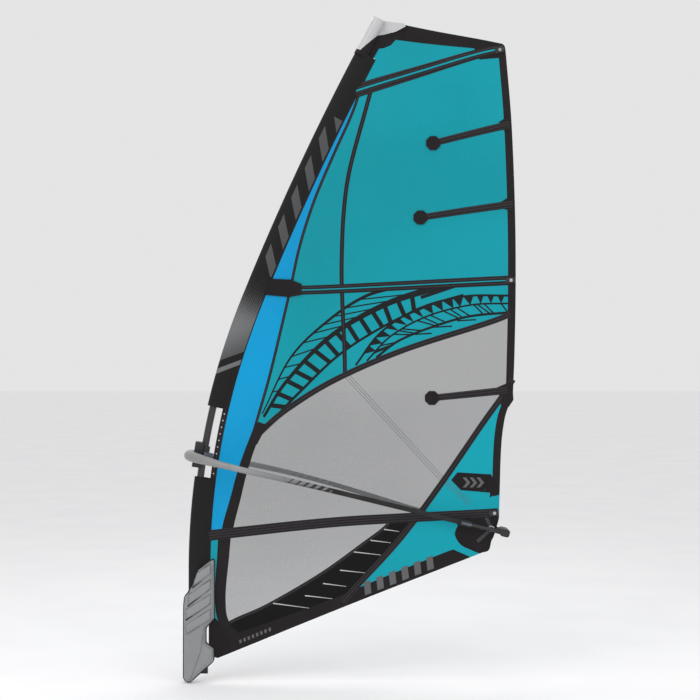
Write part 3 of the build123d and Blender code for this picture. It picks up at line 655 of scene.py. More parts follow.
def sleeve_print():
    """Sleeve cloth: black, with a grey slatted upper field, a dot fade and plain bands lower down."""
    look = Look("sleeve_print", linear(22, 19, 20), 0.72, sheen=0.04, gloss=0.2)
    u, v, _ = look.axes(look.place("UV"))
    light = linear(122, 124, 125)
    grey = linear(86, 87, 88)
    slant = look.plus(u, look.times(v, 1.3))
    slats = look.math("GREATER_THAN", look.saw(slant, 0.085), 0.047)
    field = look.window(u, (2.33, 2.332), (3.24, 3.242))
    half = look.window(v, (0.004, 0.005), (0.08, 0.081))
    look.mix(look.times(look.times(slats, field), look.times(half, 0.85)), grey)
    column = look.minus(look.saw(look.plus(u, v), DOT), DOT / 2)
    row = look.minus(look.saw(look.minus(u, v), DOT), DOT / 2)
    spread = look.math("SQRT", look.plus(look.math("POWER", column, 2.0), look.math("POWER", row, 2.0)))
    size = look.ramp(u, 1.98, 2.32, DOT * 0.66, DOT * 0.04)
    tilt = look.minus(u, look.times(v, 0.74))
    dots = look.times(look.math("LESS_THAN", spread, size), look.math("LESS_THAN", u, 2.32))
    shine = look.ramp(tilt, 1.8, 2.02, 0.45, 0.95)
    above = look.math("GREATER_THAN", tilt, 1.832)
    look.mix(look.times(look.times(dots, above), look.times(shine, 0.9)), light)
    band = look.window(tilt, (1.754, 1.756), (1.784, 1.786))
    look.mix(look.times(band, 0.8), light)
    x, y, z = look.axes(look.place())
    cloth = look.weave(x, y, z, 3900)
    look.mix(look.ramp(cloth, -0.9, 0.9, 0.0, 0.1), linear(70, 70, 72))
    look.bump(cloth, 0.0003, 0.35)
    look.bump(look.noise(16, 4.0, stretch=(1, 1, 2)), 0.003, 0.25)
    return look.done()


def rope(name, color, fleck):
    """Braided line, with flecks that run round it."""
    look = Look(name, color, 0.7, sheen=0.1)
    x, y, z = look.axes(look.place())
    pitch = 1500
    turn = look.plus(look.times(z, pitch), look.times(look.plus(x, y), pitch))
    back = look.minus(look.times(z, pitch), look.times(look.plus(x, y), pitch))
    braid = look.times(look.sine(turn), look.sine(back))
    look.mix(look.ramp(braid, 0.0, 0.8, 0.0, 0.6), fleck)
    look.bump(braid, 0.0006, 0.6)
    return look.done()


BLACK_CLOTH = (linear(31, 27, 29), linear(48, 45, 48))
TEAL = film("teal_film", linear(4, 150, 164), linear(3, 139, 152), linear(16, 164, 178))
CLEW_TEAL = film("clew_teal_film", linear(3, 157, 173), linear(3, 146, 161), linear(16, 170, 184))
BLUE = film("blue_film", linear(0, 152, 206), linear(0, 140, 194), linear(16, 166, 218))
FOOT_BLACK = film("foot_black_film", linear(3, 3, 4), linear(2, 2, 3), linear(12, 12, 14))
WINDOW = film("window_film", linear(116, 117, 118), linear(102, 103, 104), linear(138, 139, 140),
              alpha=0.66, ripple=0.03)
PALE = film("pale_film", linear(186, 188, 189), linear(176, 178, 180), linear(206, 207, 208))
TAPE = woven("tape_cloth", *BLACK_CLOTH, stitches=True)
BORDER = woven("border_cloth", *BLACK_CLOTH)
BAND = woven("foot_band_cloth", *BLACK_CLOTH)
PATCH = woven("reinforcement_cloth", linear(28, 24, 26), linear(45, 42, 45))
WEBBING = woven("webbing", linear(56, 57, 62), linear(92, 93, 98), weave=0.003)
INK = woven("printed_ink", linear(18, 22, 24), linear(34, 38, 40), sheen=0.0, roughness=0.45)
THREAD = woven("seam_thread", linear(96, 98, 100), linear(130, 132, 134), sheen=0.0)
GREY_INK = woven("grey_ink", linear(92, 93, 94), linear(120, 121, 122), sheen=0.0, roughness=0.5)
SLEEVE = sleeve_print()
LAMINATE = carbon_tube()
GRIP = boom_sheath()
CUFF = moulded("boom_cuff", linear(132, 132, 131), linear(160, 160, 160), roughness=0.36, coat=0.2)
FAIRING = moulded("fairing_foam", linear(136, 137, 138), linear(160, 161, 162), roughness=0.5, grain=500)
# Dark grey for the thin lines round the fairing's ribs: painted shade of the grooves beside them.
RIB_GROOVE_SHADE = moulded("fairing_rib_groove_shade", linear(92, 93, 94), linear(112, 113, 114), roughness=0.6)
FAIRING_TRIM = moulded("fairing_trim", linear(22, 22, 24), linear(48, 48, 50), roughness=0.6)
CAP = moulded("cap_plastic", linear(172, 172, 174), linear(200, 200, 202), roughness=0.34, coat=0.3)
PLASTIC = moulded("black_plastic", linear(22, 22, 24), linear(54, 54, 57), roughness=0.46)
GREY_PLASTIC = moulded("grey_plastic", linear(74, 80, 90), linear(104, 110, 120), roughness=0.42)
RUBBER = moulded("liner_rubber", linear(24, 24, 25), linear(44, 44, 45), roughness=0.8, grain=400)
STEEL = brushed("steel", linear(196, 198, 201), linear(120, 122, 126), roughness=0.24)
ALLOY = brushed("tail_alloy", linear(72, 72, 73), linear(44, 44, 46), roughness=0.34)
PALE_ALLOY = brushed("extension_alloy", linear(190, 192, 195), linear(140, 142, 146), roughness=0.32)
ROD = moulded("batten_rod", linear(216, 212, 196), linear(232, 230, 220), roughness=0.4)
ROPE = rope("line_braid", linear(196, 196, 190), linear(36, 60, 120))


# --- Sail panels ---------------------------------------------------------------------------
OUTLINE = sail_outline()
FOOT_BAND_END = ((1.487, 0.728), (1.612, 0.674))


def seam(points, low=None, high=None):
    """A seam's points, kept within the sail and between two heights."""
    return [(x, z) for x, z in smooth(points)
            if inside(OUTLINE, x, z) and (low is None or z > low) and (high is None or z < high)]


TAPE_LINE = [(leech_x(z) - LEECH_TAPE, z) for z in np.arange(1.06, 3.64, 0.02)]
SEAMS = [seam(BLUE_SEAM), seam(MIDDLE_SEAM, low=1.72), seam(WINDOW_TOP), seam(WINDOW_FOOT), seam(DIAGONAL),
         seam(HEAD_BATTEN), seam(MIDDLE_BATTEN), seam(LOWER_BATTEN), seam(CLEW_PATCH), seam(TACK_PATCH),
         seam(FOOT_BAND), straight(FOOT_BAND_END, 0.01),
         [p for p in TAPE_LINE if inside(OUTLINE, *p)]]
PANEL_FILMS = {
    "clew_patch": PATCH, "tack_patch": PATCH, "leech_tape": BAND, "foot_band": BAND, "head_panel": TEAL,
    "luff_panel_upper": BLUE, "luff_panel_lower": BLUE, "luff_panel_foot": TEAL,
    "upper_front_panel": TEAL, "upper_rear_panel": TEAL, "middle_front_panel": TEAL,
    "middle_rear_panel": TEAL, "clew_panel_upper": CLEW_TEAL, "clew_panel_lower": CLEW_TEAL,
    "window_upper": WINDOW, "window_lower": WINDOW, "foot_panel": FOOT_BLACK,
}

points, triangles = triangulate(OUTLINE, SEAMS, 0.022)
panel_faces = {name: [] for name in PANEL_FILMS}
for face, x, z in triangles:
    panel_faces[panel_at(x, z)].append(tuple(face))
panels = {}
for name, faces in panel_faces.items():
    verts, faces = part_mesh(points, faces, on_sail)
    panels[name] = add_object(name + "_cloth", verts, faces, PANEL_FILMS[name])
    if name == "foot_band":
        panels[name].data.materials.append(CLEW_TEAL)
        (ax, az), (bx, bz) = FOOT_BAND_END
        for face in panels[name].data.polygons:
            face.material_index = int((face.center.x - ax) * (bz - az) < (face.center.z - az) * (bx - ax))
    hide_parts(name)

# --- Seams, tapes and pockets --------------------------------------------------------------
def between(points, low, high):
    """A line's points between two x."""
    return [(x, z) for x, z in smooth(points) if low <= x <= high]


LUFF_LINE = [(x - 0.001, z) for x, z in straight([(SEAM_OFFSET, 0.112), LUFF[0]]) + smooth(LUFF)[1:]]
ribbon("luff_seam_tape", [LUFF_LINE], 0.009, BORDER, lift=0.0012)
ribbon("blue_seam_tape", [seam(BLUE_SEAM, low=1.42)], 0.016, TAPE)
WINDOW_BORDER = [(0.376, 1.452), (0.342, 1.36), (0.306, 1.262), (0.268, 1.14), (0.238, 1.02), (0.2, 0.88),
                 (0.186, 0.8)]
FOOT_BORDER = [(0.176, 0.83), (0.166, 0.68), (0.152, 0.52), (0.15, 0.42), (0.16, 0.33), (0.19, 0.262)]
ribbon("window_border_tape", [smooth(WINDOW_BORDER)], 0.046, BORDER, lift=0.0013, end_width=0.066)
ribbon("foot_border_tape", [smooth(FOOT_BORDER)], 0.074, BORDER, lift=0.0013, end_width=0.056)
ribbon("middle_seam_tape", [seam(MIDDLE_SEAM, low=1.72, high=3.42)], SEAM_TAPE, TAPE, lift=0.0012)
ribbon("window_top_tape", [between(WINDOW_TOP, 0.345, 1.835)], 0.034, TAPE, lift=0.0014)
ribbon("window_foot_tape", [between(WINDOW_FOOT, 0.185, 1.13)], 0.02, TAPE, lift=0.0011)
ribbon("diagonal_tape", [seam(DIAGONAL)], 0.034, TAPE, lift=0.0016)


POCKET_CROWN = 0.0055


def batten_cover(name, line, width, taper, core=None):
    """Batten pocket on both faces: a raised strip, with a film centre between two tapes if it has one."""
    base = ribbon(name + "_pocket", [line], width, TAPE, lift=0.0011, end_width=taper, crown=POCKET_CROWN)
    if core:
        inner = width * 0.3
        ribbon(name + "_window", [line], inner, core, lift=0.0019, crown=POCKET_CROWN,
               end_width=inner * 0.9)
    return base


head_line = between(HEAD_BATTEN, 0.922, 1.812)
middle_line = between(MIDDLE_BATTEN, 0.455, 1.858)
lower_line = between(LOWER_BATTEN, 0.078, 1.764)
batten_cover("head", head_line, 0.078, 0.052, core=TEAL)
middle_pocket = batten_cover("middle", middle_line, 0.052, 0.056, core=TEAL)
batten_cover("lower", lower_line, 0.062, 0.052)
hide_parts("batten_pockets")


def octagon(x, z, radius):
    corners = [math.radians(22.5 + 45 * i) for i in range(8)]
    return [(x + radius * math.cos(a), z + radius * math.sin(a)) for a in corners]


KNOB = 0.044
mini_lines = [straight([a, (min(b[0], leech_x(b[1]) - 0.012), b[1])], 0.03) for a, b in MINI_BATTENS]
mini_pockets = ribbon("mini_batten_bars", mini_lines, 0.038, TAPE, lift=0.0014, end_width=0.044,
                      crown=0.005, sides=(PORT,))
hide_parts("mini_batten_pockets")
patch("mini_batten_knobs", [octagon(*line[0], KNOB) for line in MINI_BATTENS], PATCH, lift=0.0064,
      sides=(PORT,), grid=0.012)


def flare(x, z):
    """The widened end of a mini batten's pocket, at the leech."""
    return [(x - 0.065, z - 0.024), (leech_x(z) - 0.03, z - 0.04), (leech_x(z) - 0.003, z - 0.04),
            (leech_x(z) - 0.003, z + 0.044), (leech_x(z) - 0.03, z + 0.044), (x - 0.065, z + 0.014)]


patch("mini_batten_flares", [flare(*line[-1]) for line in MINI_BATTENS], BORDER, lift=0.003, sides=(PORT,))

# --- Reinforcements and printed decoration --------------------------------------------------
black_head = [(0.957, 3.424), (1.07, 3.626), (1.101, 3.63), (1.14, 3.648), (1.167, 3.679), (1.629, 3.641),
              (1.636, 3.605), (1.66, 3.576), (1.776, 3.589), (1.8145, 3.604), (1.811, 3.65), (1.805, 3.665),
              (1.795, 3.673), (1.215, 3.767), beside_mast(3.79, 0.036), beside_mast(3.7, 0.034),
              beside_mast(3.604, 0.03), beside_mast(3.54, 0.07), beside_mast(3.46, 0.084)]
patch("head_reinforcement", [black_head], PATCH, lift=0.0012)
luff_patch = [(0.395, 2.285), (0.45, 2.292), (0.56, 2.287), (0.622, 2.262), (0.622, 2.2), (0.548, 2.186),
              (0.415, 2.198), (0.38, 2.225)]
patch("luff_reinforcement", [luff_patch], PATCH, lift=0.0078)
corner_patch = [(1.789, 1.62), (1.845, 1.66), (1.85, 1.59), (1.822, 1.548), (1.775, 1.56)]
patch("leech_corner_patch", [corner_patch], BORDER, lift=0.0022)
front_corner = [(0.353, 1.428), (0.372, 1.462), (0.4, 1.45), (0.444, 1.454), (0.41, 1.424), (0.396, 1.396),
                (0.362, 1.33), (0.322, 1.33)]
patch("window_corner_patch", [front_corner], BORDER, lift=0.0016)

STRIPES = [((0.455, 0.407), (0.663, 0.378)), ((0.844, 0.597), (0.989, 0.582)),
           ((0.925, 0.703), (1.082, 0.686)), ((1.021, 0.771), (1.14, 0.757)),
           ((1.1, 0.835), (1.188, 0.823)), ((0.64, 0.45), (0.8, 0.432)),
           ((0.745, 0.52), (0.88, 0.503))]


def bar(start, end, width, taper=0.35):
    """A straight printed bar that narrows to one end."""
    (ax, az), (bx, bz) = start, end
    run = math.dist(start, end)
    nx, nz = -(bz - az) / run * width / 2, (bx - ax) / run * width / 2
    return [(ax + nx, az + nz), (ax - nx, az - nz), (bx - nx * taper, bz - nz * taper),
            (bx + nx * taper, bz + nz * taper)]


patch("foot_stripes", [bar(a, b, 0.0065) for a, b in STRIPES], PALE, lift=0.0012)

FOOT_SLOPE = math.atan2(0.703 - 0.093, 1.665 - 0.136)


def slanted_bars(start, pitch, count, width, height, lean):
    """Plain leaning bars in a row along the foot."""
    bars = []
    ux, uz = math.cos(FOOT_SLOPE), math.sin(FOOT_SLOPE)
    for i in range(count):
        x, z = start[0] + ux * pitch * i, start[1] + uz * pitch * i
        tx, tz = x - uz * height + ux * lean, z + ux * height + uz * lean
        bars.append([(x, z), (x + ux * width, z + uz * width), (tx + ux * width, tz + uz * width),
                     (tx, tz)])
    return bars


patch("foot_band_bars", slanted_bars((0.99, 0.452), 0.078, 6, 0.04, 0.072, 0.02), GREY_INK, lift=0.0012)
patch("tack_dashes", slanted_bars((0.262, 0.176), 0.026, 8, 0.014, 0.02, 0.004), GREY_INK, lift=0.0012)

EMBLEM = [(1.525, 1.169), (1.72, 1.158), (1.77, 1.041), (1.712, 1.024), (1.714, 1.052), (1.545, 1.066),
          (1.489, 1.124)]
patch("clew_emblem", [EMBLEM], PATCH, lift=0.0014)
chevrons = []
for x in (1.555, 1.595, 1.635):
    chevrons.append([(x, 1.14), (x + 0.02, 1.14), (x + 0.045, 1.11), (x + 0.02, 1.082), (x, 1.082),
                     (x + 0.024, 1.11)])
patch("clew_chevrons", chevrons, GREY_INK, lift=0.0034)

# The printed band below the middle batten: plain arcs, rungs, teeth and hatching.
ARC_OUTER = [(0.392, 1.508), (0.56, 1.84), (0.786, 2.06), (0.985, 2.19), (1.163, 2.245)]
ARC_UPPER = [(0.4, 1.49), (0.535, 1.7), (0.79, 1.96), (1.12, 2.15), (1.46, 2.255), (1.56, 2.268)]
ARC_LOWER = [(0.47, 1.49), (0.615, 1.64), (0.85, 1.86), (1.14, 2.04), (1.38, 2.145), (1.56, 2.2)]
ARCH_OUTER = [(0.935, 1.79), (1.08, 1.98), (1.3, 2.12), (1.56, 2.19), (1.838, 2.195)]
ARCH_MIDDLE = [(1.0, 1.815), (1.14, 1.96), (1.35, 2.075), (1.6, 2.14), (1.838, 2.15)]
ARCH_INNER = [(1.055, 1.835), (1.19, 1.935), (1.4, 2.02), (1.6, 2.075), (1.838, 2.098)]


def at(line, share):
    return line[round(share * (len(line) - 1))]


def rungs(line_a, line_b, shares, width):
    return [bar(at(line_a, t), at(line_b, t), width, 1.0) for t in shares]


def printed(name, line, width, end_width=None):
    return ribbon(name, [line], width, INK, lift=0.0008, end_width=end_width)


outer, upper, lower = smooth(ARC_OUTER), smooth(ARC_UPPER), smooth(ARC_LOWER)
arch_outer, arch_middle, arch_inner = smooth(ARCH_OUTER), smooth(ARCH_MIDDLE), smooth(ARCH_INNER)
printed("print_arc_outer", outer, 0.007, 0.02)
printed("print_arc_upper", upper, 0.016, 0.042)
printed("print_arc_lower", lower, 0.016, 0.012)
printed("print_arch_outer", arch_outer, 0.012)
printed("print_arch_middle", arch_middle, 0.01)
printed("print_arch_inner", arch_inner, 0.014)
ladder = rungs(upper, lower, np.arange(0.06, 0.8, 0.055), 0.026)
links = rungs(outer, upper, np.arange(0.12, 0.8, 0.075), 0.007)
teeth = []
for t in np.arange(0.08, 0.98, 0.06):
    ax, az = at(arch_outer, t)
    bx, bz = at(arch_outer, min(t + 0.05, 1.0))
    cx, cz = at(arch_middle, t + 0.01)
    teeth.append([(ax, az), (cx, cz), (bx, bz)])
hatches = []
for i, t in enumerate(np.arange(0.06, 0.96, 0.035)):
    if i % 5 < 3:
        hatches.append(bar(at(arch_middle, t), at(arch_inner, min(t + 0.05, 1.0)), 0.008, 1.0))
fans = []
for t in (0.2, 0.36, 0.52, 0.68, 0.84):
    cx, cz = at(arch_inner, t)
    for k in range(4):
        drop = 0.022 * (k + 1)
        if cz - drop - 0.02 > window_top_z(cx) + 0.03:
            fans.append(bar((cx - 0.055 + 0.01 * k, cz - drop), (cx + 0.055 - 0.01 * k, cz - drop + 0.006),
                            0.008, 1.0))
tip = [bar((1.315, 2.185), (1.56, 2.262), 0.02, 0.5)]
patch("print_rungs", ladder + links, INK, lift=0.001)
patch("print_teeth", teeth + hatches, INK, lift=0.0011)
patch("print_hatching", fans + tip, INK, lift=0.0009)

for name, start, end in (("stitches_upper", (0.879, 1.734), (1.435, 1.131)),
                         ("stitches_lower", (1.435, 1.131), (1.598, 0.992))):
    lines = [straight([(start[0] + d, start[1] + d), (end[0] + d, end[1] + d)], 0.03)
             for d in (-0.01, 0.0, 0.01)]
    ribbon(name, lines, 0.0022, THREAD, lift=0.0009)

# --- Sleeves -------------------------------------------------------------------------------
NOSE = 0.034
HALF_WIDTH = 0.029


def sleeve_ring(inset):
    """The sleeve's section, as offset aft of the mast and across it, from the seam round the nose."""
    side = [(SEAM_OFFSET - 0.0015, 0.0009)]
    side += [(SEAM_OFFSET * (1 - t) + 0.0, (HALF_WIDTH - inset) * math.sin(t * math.pi / 2) ** 1.05)
             for t in np.linspace(0.1, 0.96, 9)]
    arc = [((NOSE - inset) * -math.sin(a), (HALF_WIDTH - inset) * math.cos(a))
           for a in np.linspace(0.0, math.pi / 2, 8)]
    half = side + arc
    return half + [(offset, -across) for offset, across in reversed(half[:-1])]


def sleeve_mesh(name, low, high):
    """Tapering cloth tube round the mast, with soft wrinkles, its inside face and a rim at each end."""
    outer_ring, inner_ring = sleeve_ring(0.0), sleeve_ring(0.0012)
    heights = np.linspace(low, high, max(8, round((high - low) / 0.018)))
    verts, faces, uvs = [], [], []
    for ring, sign in ((outer_ring, 1), (inner_ring, -1)):
        first = len(verts)
        for z in heights:
            x, lean = mast_axis(z)
            for offset, across in ring:
                px = x + offset * math.cos(lean)
                pz = z - offset * math.sin(lean)
                room = min(max((0.08 - offset) / 0.03, 0.0), 1.0)
                crease = math.sin(z * 46 + 6 * noise.noise((0, across * 12, z * 2)))
                wave = noise.noise((offset * 9, across * 9, z * 5))
                push = room * (0.0008 * crease + 0.0016 * wave) * (1 if sign > 0 else 0.9)
                grow = 1 + push / HALF_WIDTH
                verts.append((px, across * grow, pz))
                uvs.append((z, offset))
        count = len(ring)
        for i in range(len(heights) - 1):
            for k in range(count - 1):
                a = first + i * count + k
                quad = (a, a + 1, a + count + 1, a + count)
                faces.append(quad if sign > 0 else quad[::-1])
    count = len(outer_ring)
    half = len(verts) // 2
    rims = [[row + k for k in range(count)] for row in (0, half - count)]
    rims += [[i * count + k for i in range(len(heights))] for k in (0, count - 1)]
    for rim in rims:
        faces += [(a, b, half + b, half + a) for a, b in zip(rim, rim[1:])]
    return add_uv(add_object(name, verts, faces, SLEEVE), uvs)


sleeve_upper = sleeve_mesh("luff_sleeve_upper_cloth", CUTOUT_HIGH, SLEEVE_TOP + 0.014)
sleeve_lower = sleeve_mesh("luff_sleeve_lower_cloth", SLEEVE_FOOT, CUTOUT_LOW)
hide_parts("luff_sleeve_upper")
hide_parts("luff_sleeve_lower")


def cap_overlap():
    """The sleeve cloth's end, wrapped over the lower aft part of the head cap."""
    radius, low = 0.0384, SLEEVE_TOP - 0.006
    rows = np.linspace(0.0, 1.0, 9)
    turns = np.linspace(-math.pi, math.pi, 41)
    verts = []
    for share in rows:
        for turn in turns:
            offset = radius * math.cos(turn)
            rise = min(max((offset + 0.012) / 0.05, 0.0), 1.0)
            z = low + share * (0.022 + 0.112 * rise)
            verts.append((*beside_mast(z, offset), radius * math.sin(turn)))
    count = len(turns)
    faces = [(i * count + k, i * count + k + 1, (i + 1) * count + k + 1, (i + 1) * count + k)
             for i in range(len(rows) - 1) for k in range(count - 1)]
    return [(x, y, z) for x, z, y in verts], faces


add_object("cap_overlap", *cap_overlap(), BORDER)
hem_line = [beside_mast(z, SEAM_OFFSET - 0.014)
            for z in np.arange(CUTOUT_LOW - 0.02, CUTOUT_HIGH + 0.03, 0.02)]
ribbon("cutout_hem", [hem_line], 0.034, TAPE, lift=0.0012)
eyelets = [octagon(*beside_mast(z, SEAM_OFFSET - 0.016), 0.0042)
           for z in np.arange(CUTOUT_LOW + 0.03, CUTOUT_HIGH, 0.039)]
patch("hem_dots", eyelets, PALE, lift=0.0022)

# --- Tack fairing --------------------------------------------------------------------------
FAIRING_HALF = 0.041
FAIRING_EDGE = [(0.114, 0.668), (0.02, 0.611), (0.005, 0.582), (-0.009, 0.541), (-0.033, 0.474),
                (-0.055, 0.45), (-0.06, 0.4), (-0.0615, 0.2), (-0.0615, -0.024), (-0.044, -0.0445),
                (-0.02, -0.04), (0.111, 0.078), (0.111, 0.148), (0.066, 0.182), (0.066, 0.27),
                (0.114, 0.325)]
RIBS = [[(0.098, 0.646), (0.098, 0.588), (-0.008, 0.514), (0.016, 0.59)],
        [(0.098, 0.555), (0.096, 0.498), (-0.028, 0.409), (-0.032, 0.466)],
        [(0.098, 0.471), (0.095, 0.411), (-0.042, 0.325), (-0.049, 0.38)],
        [(0.098, 0.386), (0.097, 0.325), (-0.043, 0.237), (-0.052, 0.29)]]


def edge_distance(polygon, x, z):
    """How far a point is from a polygon's edge."""
    nearest = 1.0
    for (ax, az), (bx, bz) in zip(polygon, polygon[1:] + polygon[:1]):
        run = (bx - ax) ** 2 + (bz - az) ** 2
        t = min(max(((x - ax) * (bx - ax) + (z - az) * (bz - az)) / run, 0.0), 1.0)
        nearest = min(nearest, math.hypot(x - ax - t * (bx - ax), z - az - t * (bz - az)))
    return nearest


def fairing_side(x, z):
    """Half width of the fairing: a crowned shell whose ribs stand up from its sides."""
    deep = min(edge_distance(FAIRING_EDGE, x, z) / 0.03, 1.0)
    half = FAIRING_HALF * (0.1 + 0.9 * math.sqrt(max(1 - (1 - deep) ** 2, 0.0)))
    for rib in RIBS:
        within = edge_distance(rib, x, z)
        if inside(rib, x, z):
            half += 0.0065 * min(within / 0.006, 1.0) ** 0.7
        elif within < 0.01:
            half -= 0.004 * (1 - within / 0.01)
    keel = abs(x - 0.03 + 0.2 * (0.3 - z) ** 2 - 0.1 * z)
    if z < 0.3 and keel < 0.006:
        half -= 0.0016 * (1 - keel / 0.006)
    return half


def fairing_skin():
    edge = straight(FAIRING_EDGE + FAIRING_EDGE[:1], 0.01)[:-1]
    rims = [smooth(rib + rib[:1], 0.012)[:-1] for rib in RIBS]
    rims = [rim for rim in rims if all(inside(edge, *p) for p in rim)]
    points, kept = triangulate(edge, [rim + rim[:1] for rim in rims], 0.0075)
    verts, faces = [], []
    for side in (PORT, STARBOARD):
        add_side(verts, faces, points, kept, side, lambda x, z: (x, side * fairing_side(x, z), z))
    half = len(points)
    count = len(edge)
    for i in range(count):
        j = (i + 1) % count
        faces.append((i, j, half + j, half + i))
    return verts, faces


fairing = add_object("tack_fairing_pad", *fairing_skin(), FAIRING)
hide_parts("tack_fairing", "fairing_ribs")


def on_fairing(name, outlines, material, lift=0.0012):
    """Thin pieces laid on both sides of the fairing."""
    verts, faces = [], []
    for shape in outlines:
        edge = straight(list(shape) + [shape[0]], 0.008)[:-1]
        points, kept = triangulate(edge, [], 0.008)
        for side in (PORT, STARBOARD):
            add_side(verts, faces, points, kept, side,
                     lambda x, z: (x, side * (fairing_side(x, z) + lift), z))
    return add_object(name, verts, faces, material)


slots = []
for (ax, az), (bx, bz) in (((-0.01, 0.505), (0.05, 0.548)), ((-0.036, 0.4), (0.05, 0.463)),
                           ((-0.048, 0.318), (0.045, 0.377)), ((0.03, 0.625), (0.06, 0.64))):
    slots.append(bar((ax, az), (bx, bz), 0.0075, 0.25))
on_fairing("fairing_slots", slots, FAIRING_TRIM, lift=0.0026)
# Thin dark lines along each rib's edges and along the keel groove: painted shade where these grooves fall
# in shadow.
rib_groove_shade_lines = []
for rib in RIBS:
    for a, b in zip(rib, rib[1:] + rib[:1]):
        rib_groove_shade_lines.append(bar(a, b, 0.003, 1.0))
rib_groove_shade_lines.append(bar((0.052, 0.232), (0.04, 0.14), 0.0026, 1.0))
rib_groove_shade_lines.append(bar((0.04, 0.14), (-0.02, -0.026), 0.0026, 1.0))
on_fairing("fairing_rib_groove_shade_lines", rib_groove_shade_lines, RIB_GROOVE_SHADE, lift=0.0009)
trim_places = [(x, 0.0, z) for x, z in straight(FAIRING_EDGE + FAIRING_EDGE[:1], 0.024)[:-1]]
tube("fairing_binding", trim_places, 0.0056, FAIRING_TRIM, closed=True)

# --- Outhaul line --------------------------------------------------------------------------
BOOM_SLOPE = math.radians(13.7)
BOOM_HEIGHT = 1.25
BOOM_ORIGIN = Vector((mast_axis(BOOM_HEIGHT)[0], 0.0, BOOM_HEIGHT))


def on_boom(along, across):
    """A point in the boom's own frame, with starboard as positive across."""
    return BOOM_ORIGIN + Vector((along * math.cos(BOOM_SLOPE), across, -along * math.sin(BOOM_SLOPE)))


OUTHAUL_ROUTE = [(1.758, 0.0305), (1.798, 0.0305), (1.8105, 0.0285), (1.8105, 0.0085), (1.798, 0.0065),
                 (1.74, 0.0065), (1.7215, 0.0065), (1.7215, -0.0065), (1.74, -0.0065), (1.798, -0.0065),
                 (1.8105, -0.0085), (1.8105, -0.0285), (1.798, -0.0305), (1.758, -0.0305)]
curve = tube("outhaul_guide", [on_boom(*p) for p in OUTHAUL_ROUTE], 0.0021, ROPE)
mesh = bpy.data.meshes.new_from_object(curve.evaluated_get(bpy.context.evaluated_depsgraph_get()))
outhaul = bpy.data.objects.new("outhaul_rope", mesh)
bpy.context.scene.collection.objects.link(outhaul)
bpy.data.objects.remove(curve)
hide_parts("outhaul_line")
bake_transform(outhaul)

# --- Materials of the CAD pieces that stay ----------------------------------------------------
NODE_LOOKS = {
    "head_cap": CAP, "batten_end_fittings": PLASTIC, "tension_screws": STEEL, "batten_rods": ROD,
    "clew_ring": STEEL, "clew_webbing": WEBBING, "mast_bottom": LAMINATE, "mast_top": LAMINATE,
    "mast_ferrule": LAMINATE, "extension_tube": PALE_ALLOY, "extension_collar": PLASTIC,
    "extension_base": PLASTIC, "release_button": GREY_PLASTIC, "base_sheave": GREY_PLASTIC,
    "tack_block": PLASTIC, "tack_sheave_port": GREY_PLASTIC, "tack_sheave_starboard": GREY_PLASTIC,
    "downhaul_line": ROPE, "boom_front_loop": CUFF,
    "boom_head": PLASTIC, "head_liner": RUBBER, "head_jaw": PLASTIC, "head_lever": GREY_PLASTIC,
    "pins_and_axles": STEEL, "boom_arm_port": GRIP, "boom_arm_starboard": GRIP, "tail_clip_port": PLASTIC,
    "tail_clip_starboard": PLASTIC, "clip_lever_port": GREY_PLASTIC, "clip_lever_starboard": GREY_PLASTIC,
    "tail_sheave_port": GREY_PLASTIC, "tail_sheave_starboard": GREY_PLASTIC, "tail_tubes": ALLOY,
    "tail_body": PLASTIC, "tail_axles": STEEL,
}
for name, material in NODE_LOOKS.items():
    mesh = nodes[name].data
    mesh.materials.clear()
    mesh.materials.append(material)

SLEEVE_GIRTH = sum(math.dist(a, b) for a, b in zip(sleeve_ring(0.0), sleeve_ring(0.0)[1:]))


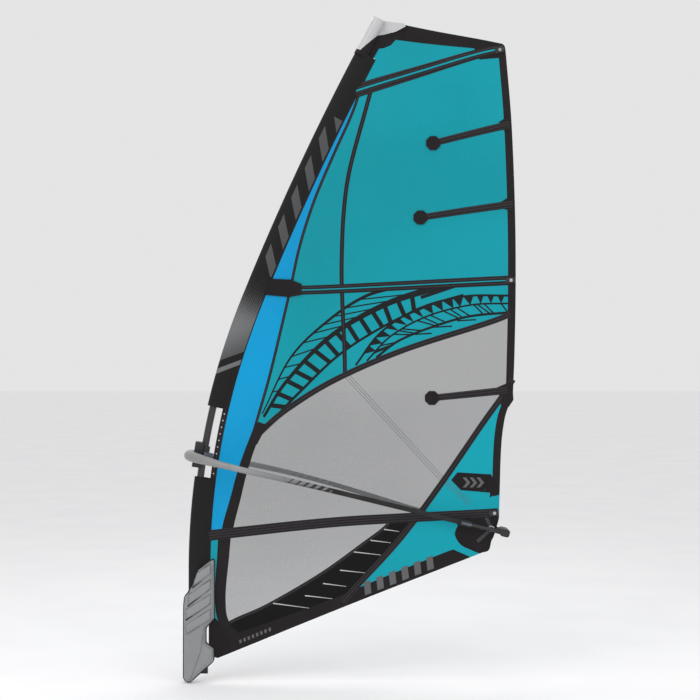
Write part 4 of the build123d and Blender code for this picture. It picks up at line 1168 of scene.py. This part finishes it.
# --- Studio --------------------------------------------------------------------------------
def studio_floor():
    """Plain pale floor, wide enough to be seen from every side."""
    reach = 60.0
    corners = ((-reach, -reach), (reach, -reach), (reach, reach), (-reach, reach))
    verts = [(x, y, FLOOR) for x, y in corners]
    mesh = bpy.data.meshes.new("floor")
    mesh.from_pydata(verts, [], [(0, 1, 2, 3)])
    floor = bpy.data.objects.new("floor", mesh)
    bpy.context.scene.collection.objects.link(floor)
    look = Look("studio_paper", linear(250, 250, 251), 0.9, gloss=0.1)
    look.mix(look.ramp(look.noise(1.5, 3.0), 0.3, 0.7), linear(247, 247, 249))
    floor.data.materials.append(look.done())
    return floor


def lamp(name, place, target, size, power):
    light = bpy.data.lights.new(name, "AREA")
    light.shape = "SQUARE"
    light.size = size
    light.energy = power
    obj = bpy.data.objects.new(name, light)
    obj.location = place
    obj.rotation_euler = (Vector(target) - Vector(place)).to_track_quat("-Z", "Y").to_euler()
    bpy.context.scene.collection.objects.link(obj)


FLOOR = min(corner[2] for corner in cad_box) - 0.002
studio_floor()
MIDDLE = (0.902, 0.0, 1.879)
LENS = 75.4
CAMERA_DISTANCE = 8.5
lamp("key", (-3.2, -5.0, 5.6), MIDDLE, 3.5, 95)
lamp("fill", (5.2, -5.5, 3.4), MIDDLE, 4.0, 50)
lamp("front", (0.9, -8.8, 2.2), MIDDLE, 4.0, 30)
lamp("top", (0.9, -0.8, 7.2), MIDDLE, 3.0, 60)
lamp("back", (0.9, 2.6, 5.4), (0.9, 0.0, 2.0), 2.5, 30)

world = bpy.data.worlds.new("studio")
bpy.context.scene.world = world
world.use_nodes = True
world.node_tree.nodes["Background"].inputs["Color"].default_value = (1.0, 1.0, 1.0, 1.0)
world.node_tree.nodes["Background"].inputs["Strength"].default_value = 0.78

camera = bpy.data.objects.new("camera", bpy.data.cameras.new("camera"))
camera.data.lens = LENS
camera.data.sensor_width = 36.0
camera.location = (MIDDLE[0], -CAMERA_DISTANCE, MIDDLE[2])
camera.rotation_euler = (math.radians(90), 0, 0)
bpy.context.scene.collection.objects.link(camera)
bpy.context.scene.camera = camera
bpy.context.scene.view_settings.view_transform = "Standard"

# --- Cloth sizes, the size table and the end --------------------------------------------------
for panel in panels.values():
    declare_sheet(panel)
for sleeve, low, high in ((sleeve_upper, CUTOUT_HIGH, SLEEVE_TOP),
                          (sleeve_lower, SLEEVE_FOOT, CUTOUT_LOW)):
    foot, top = mast_axis(low), mast_axis(high)
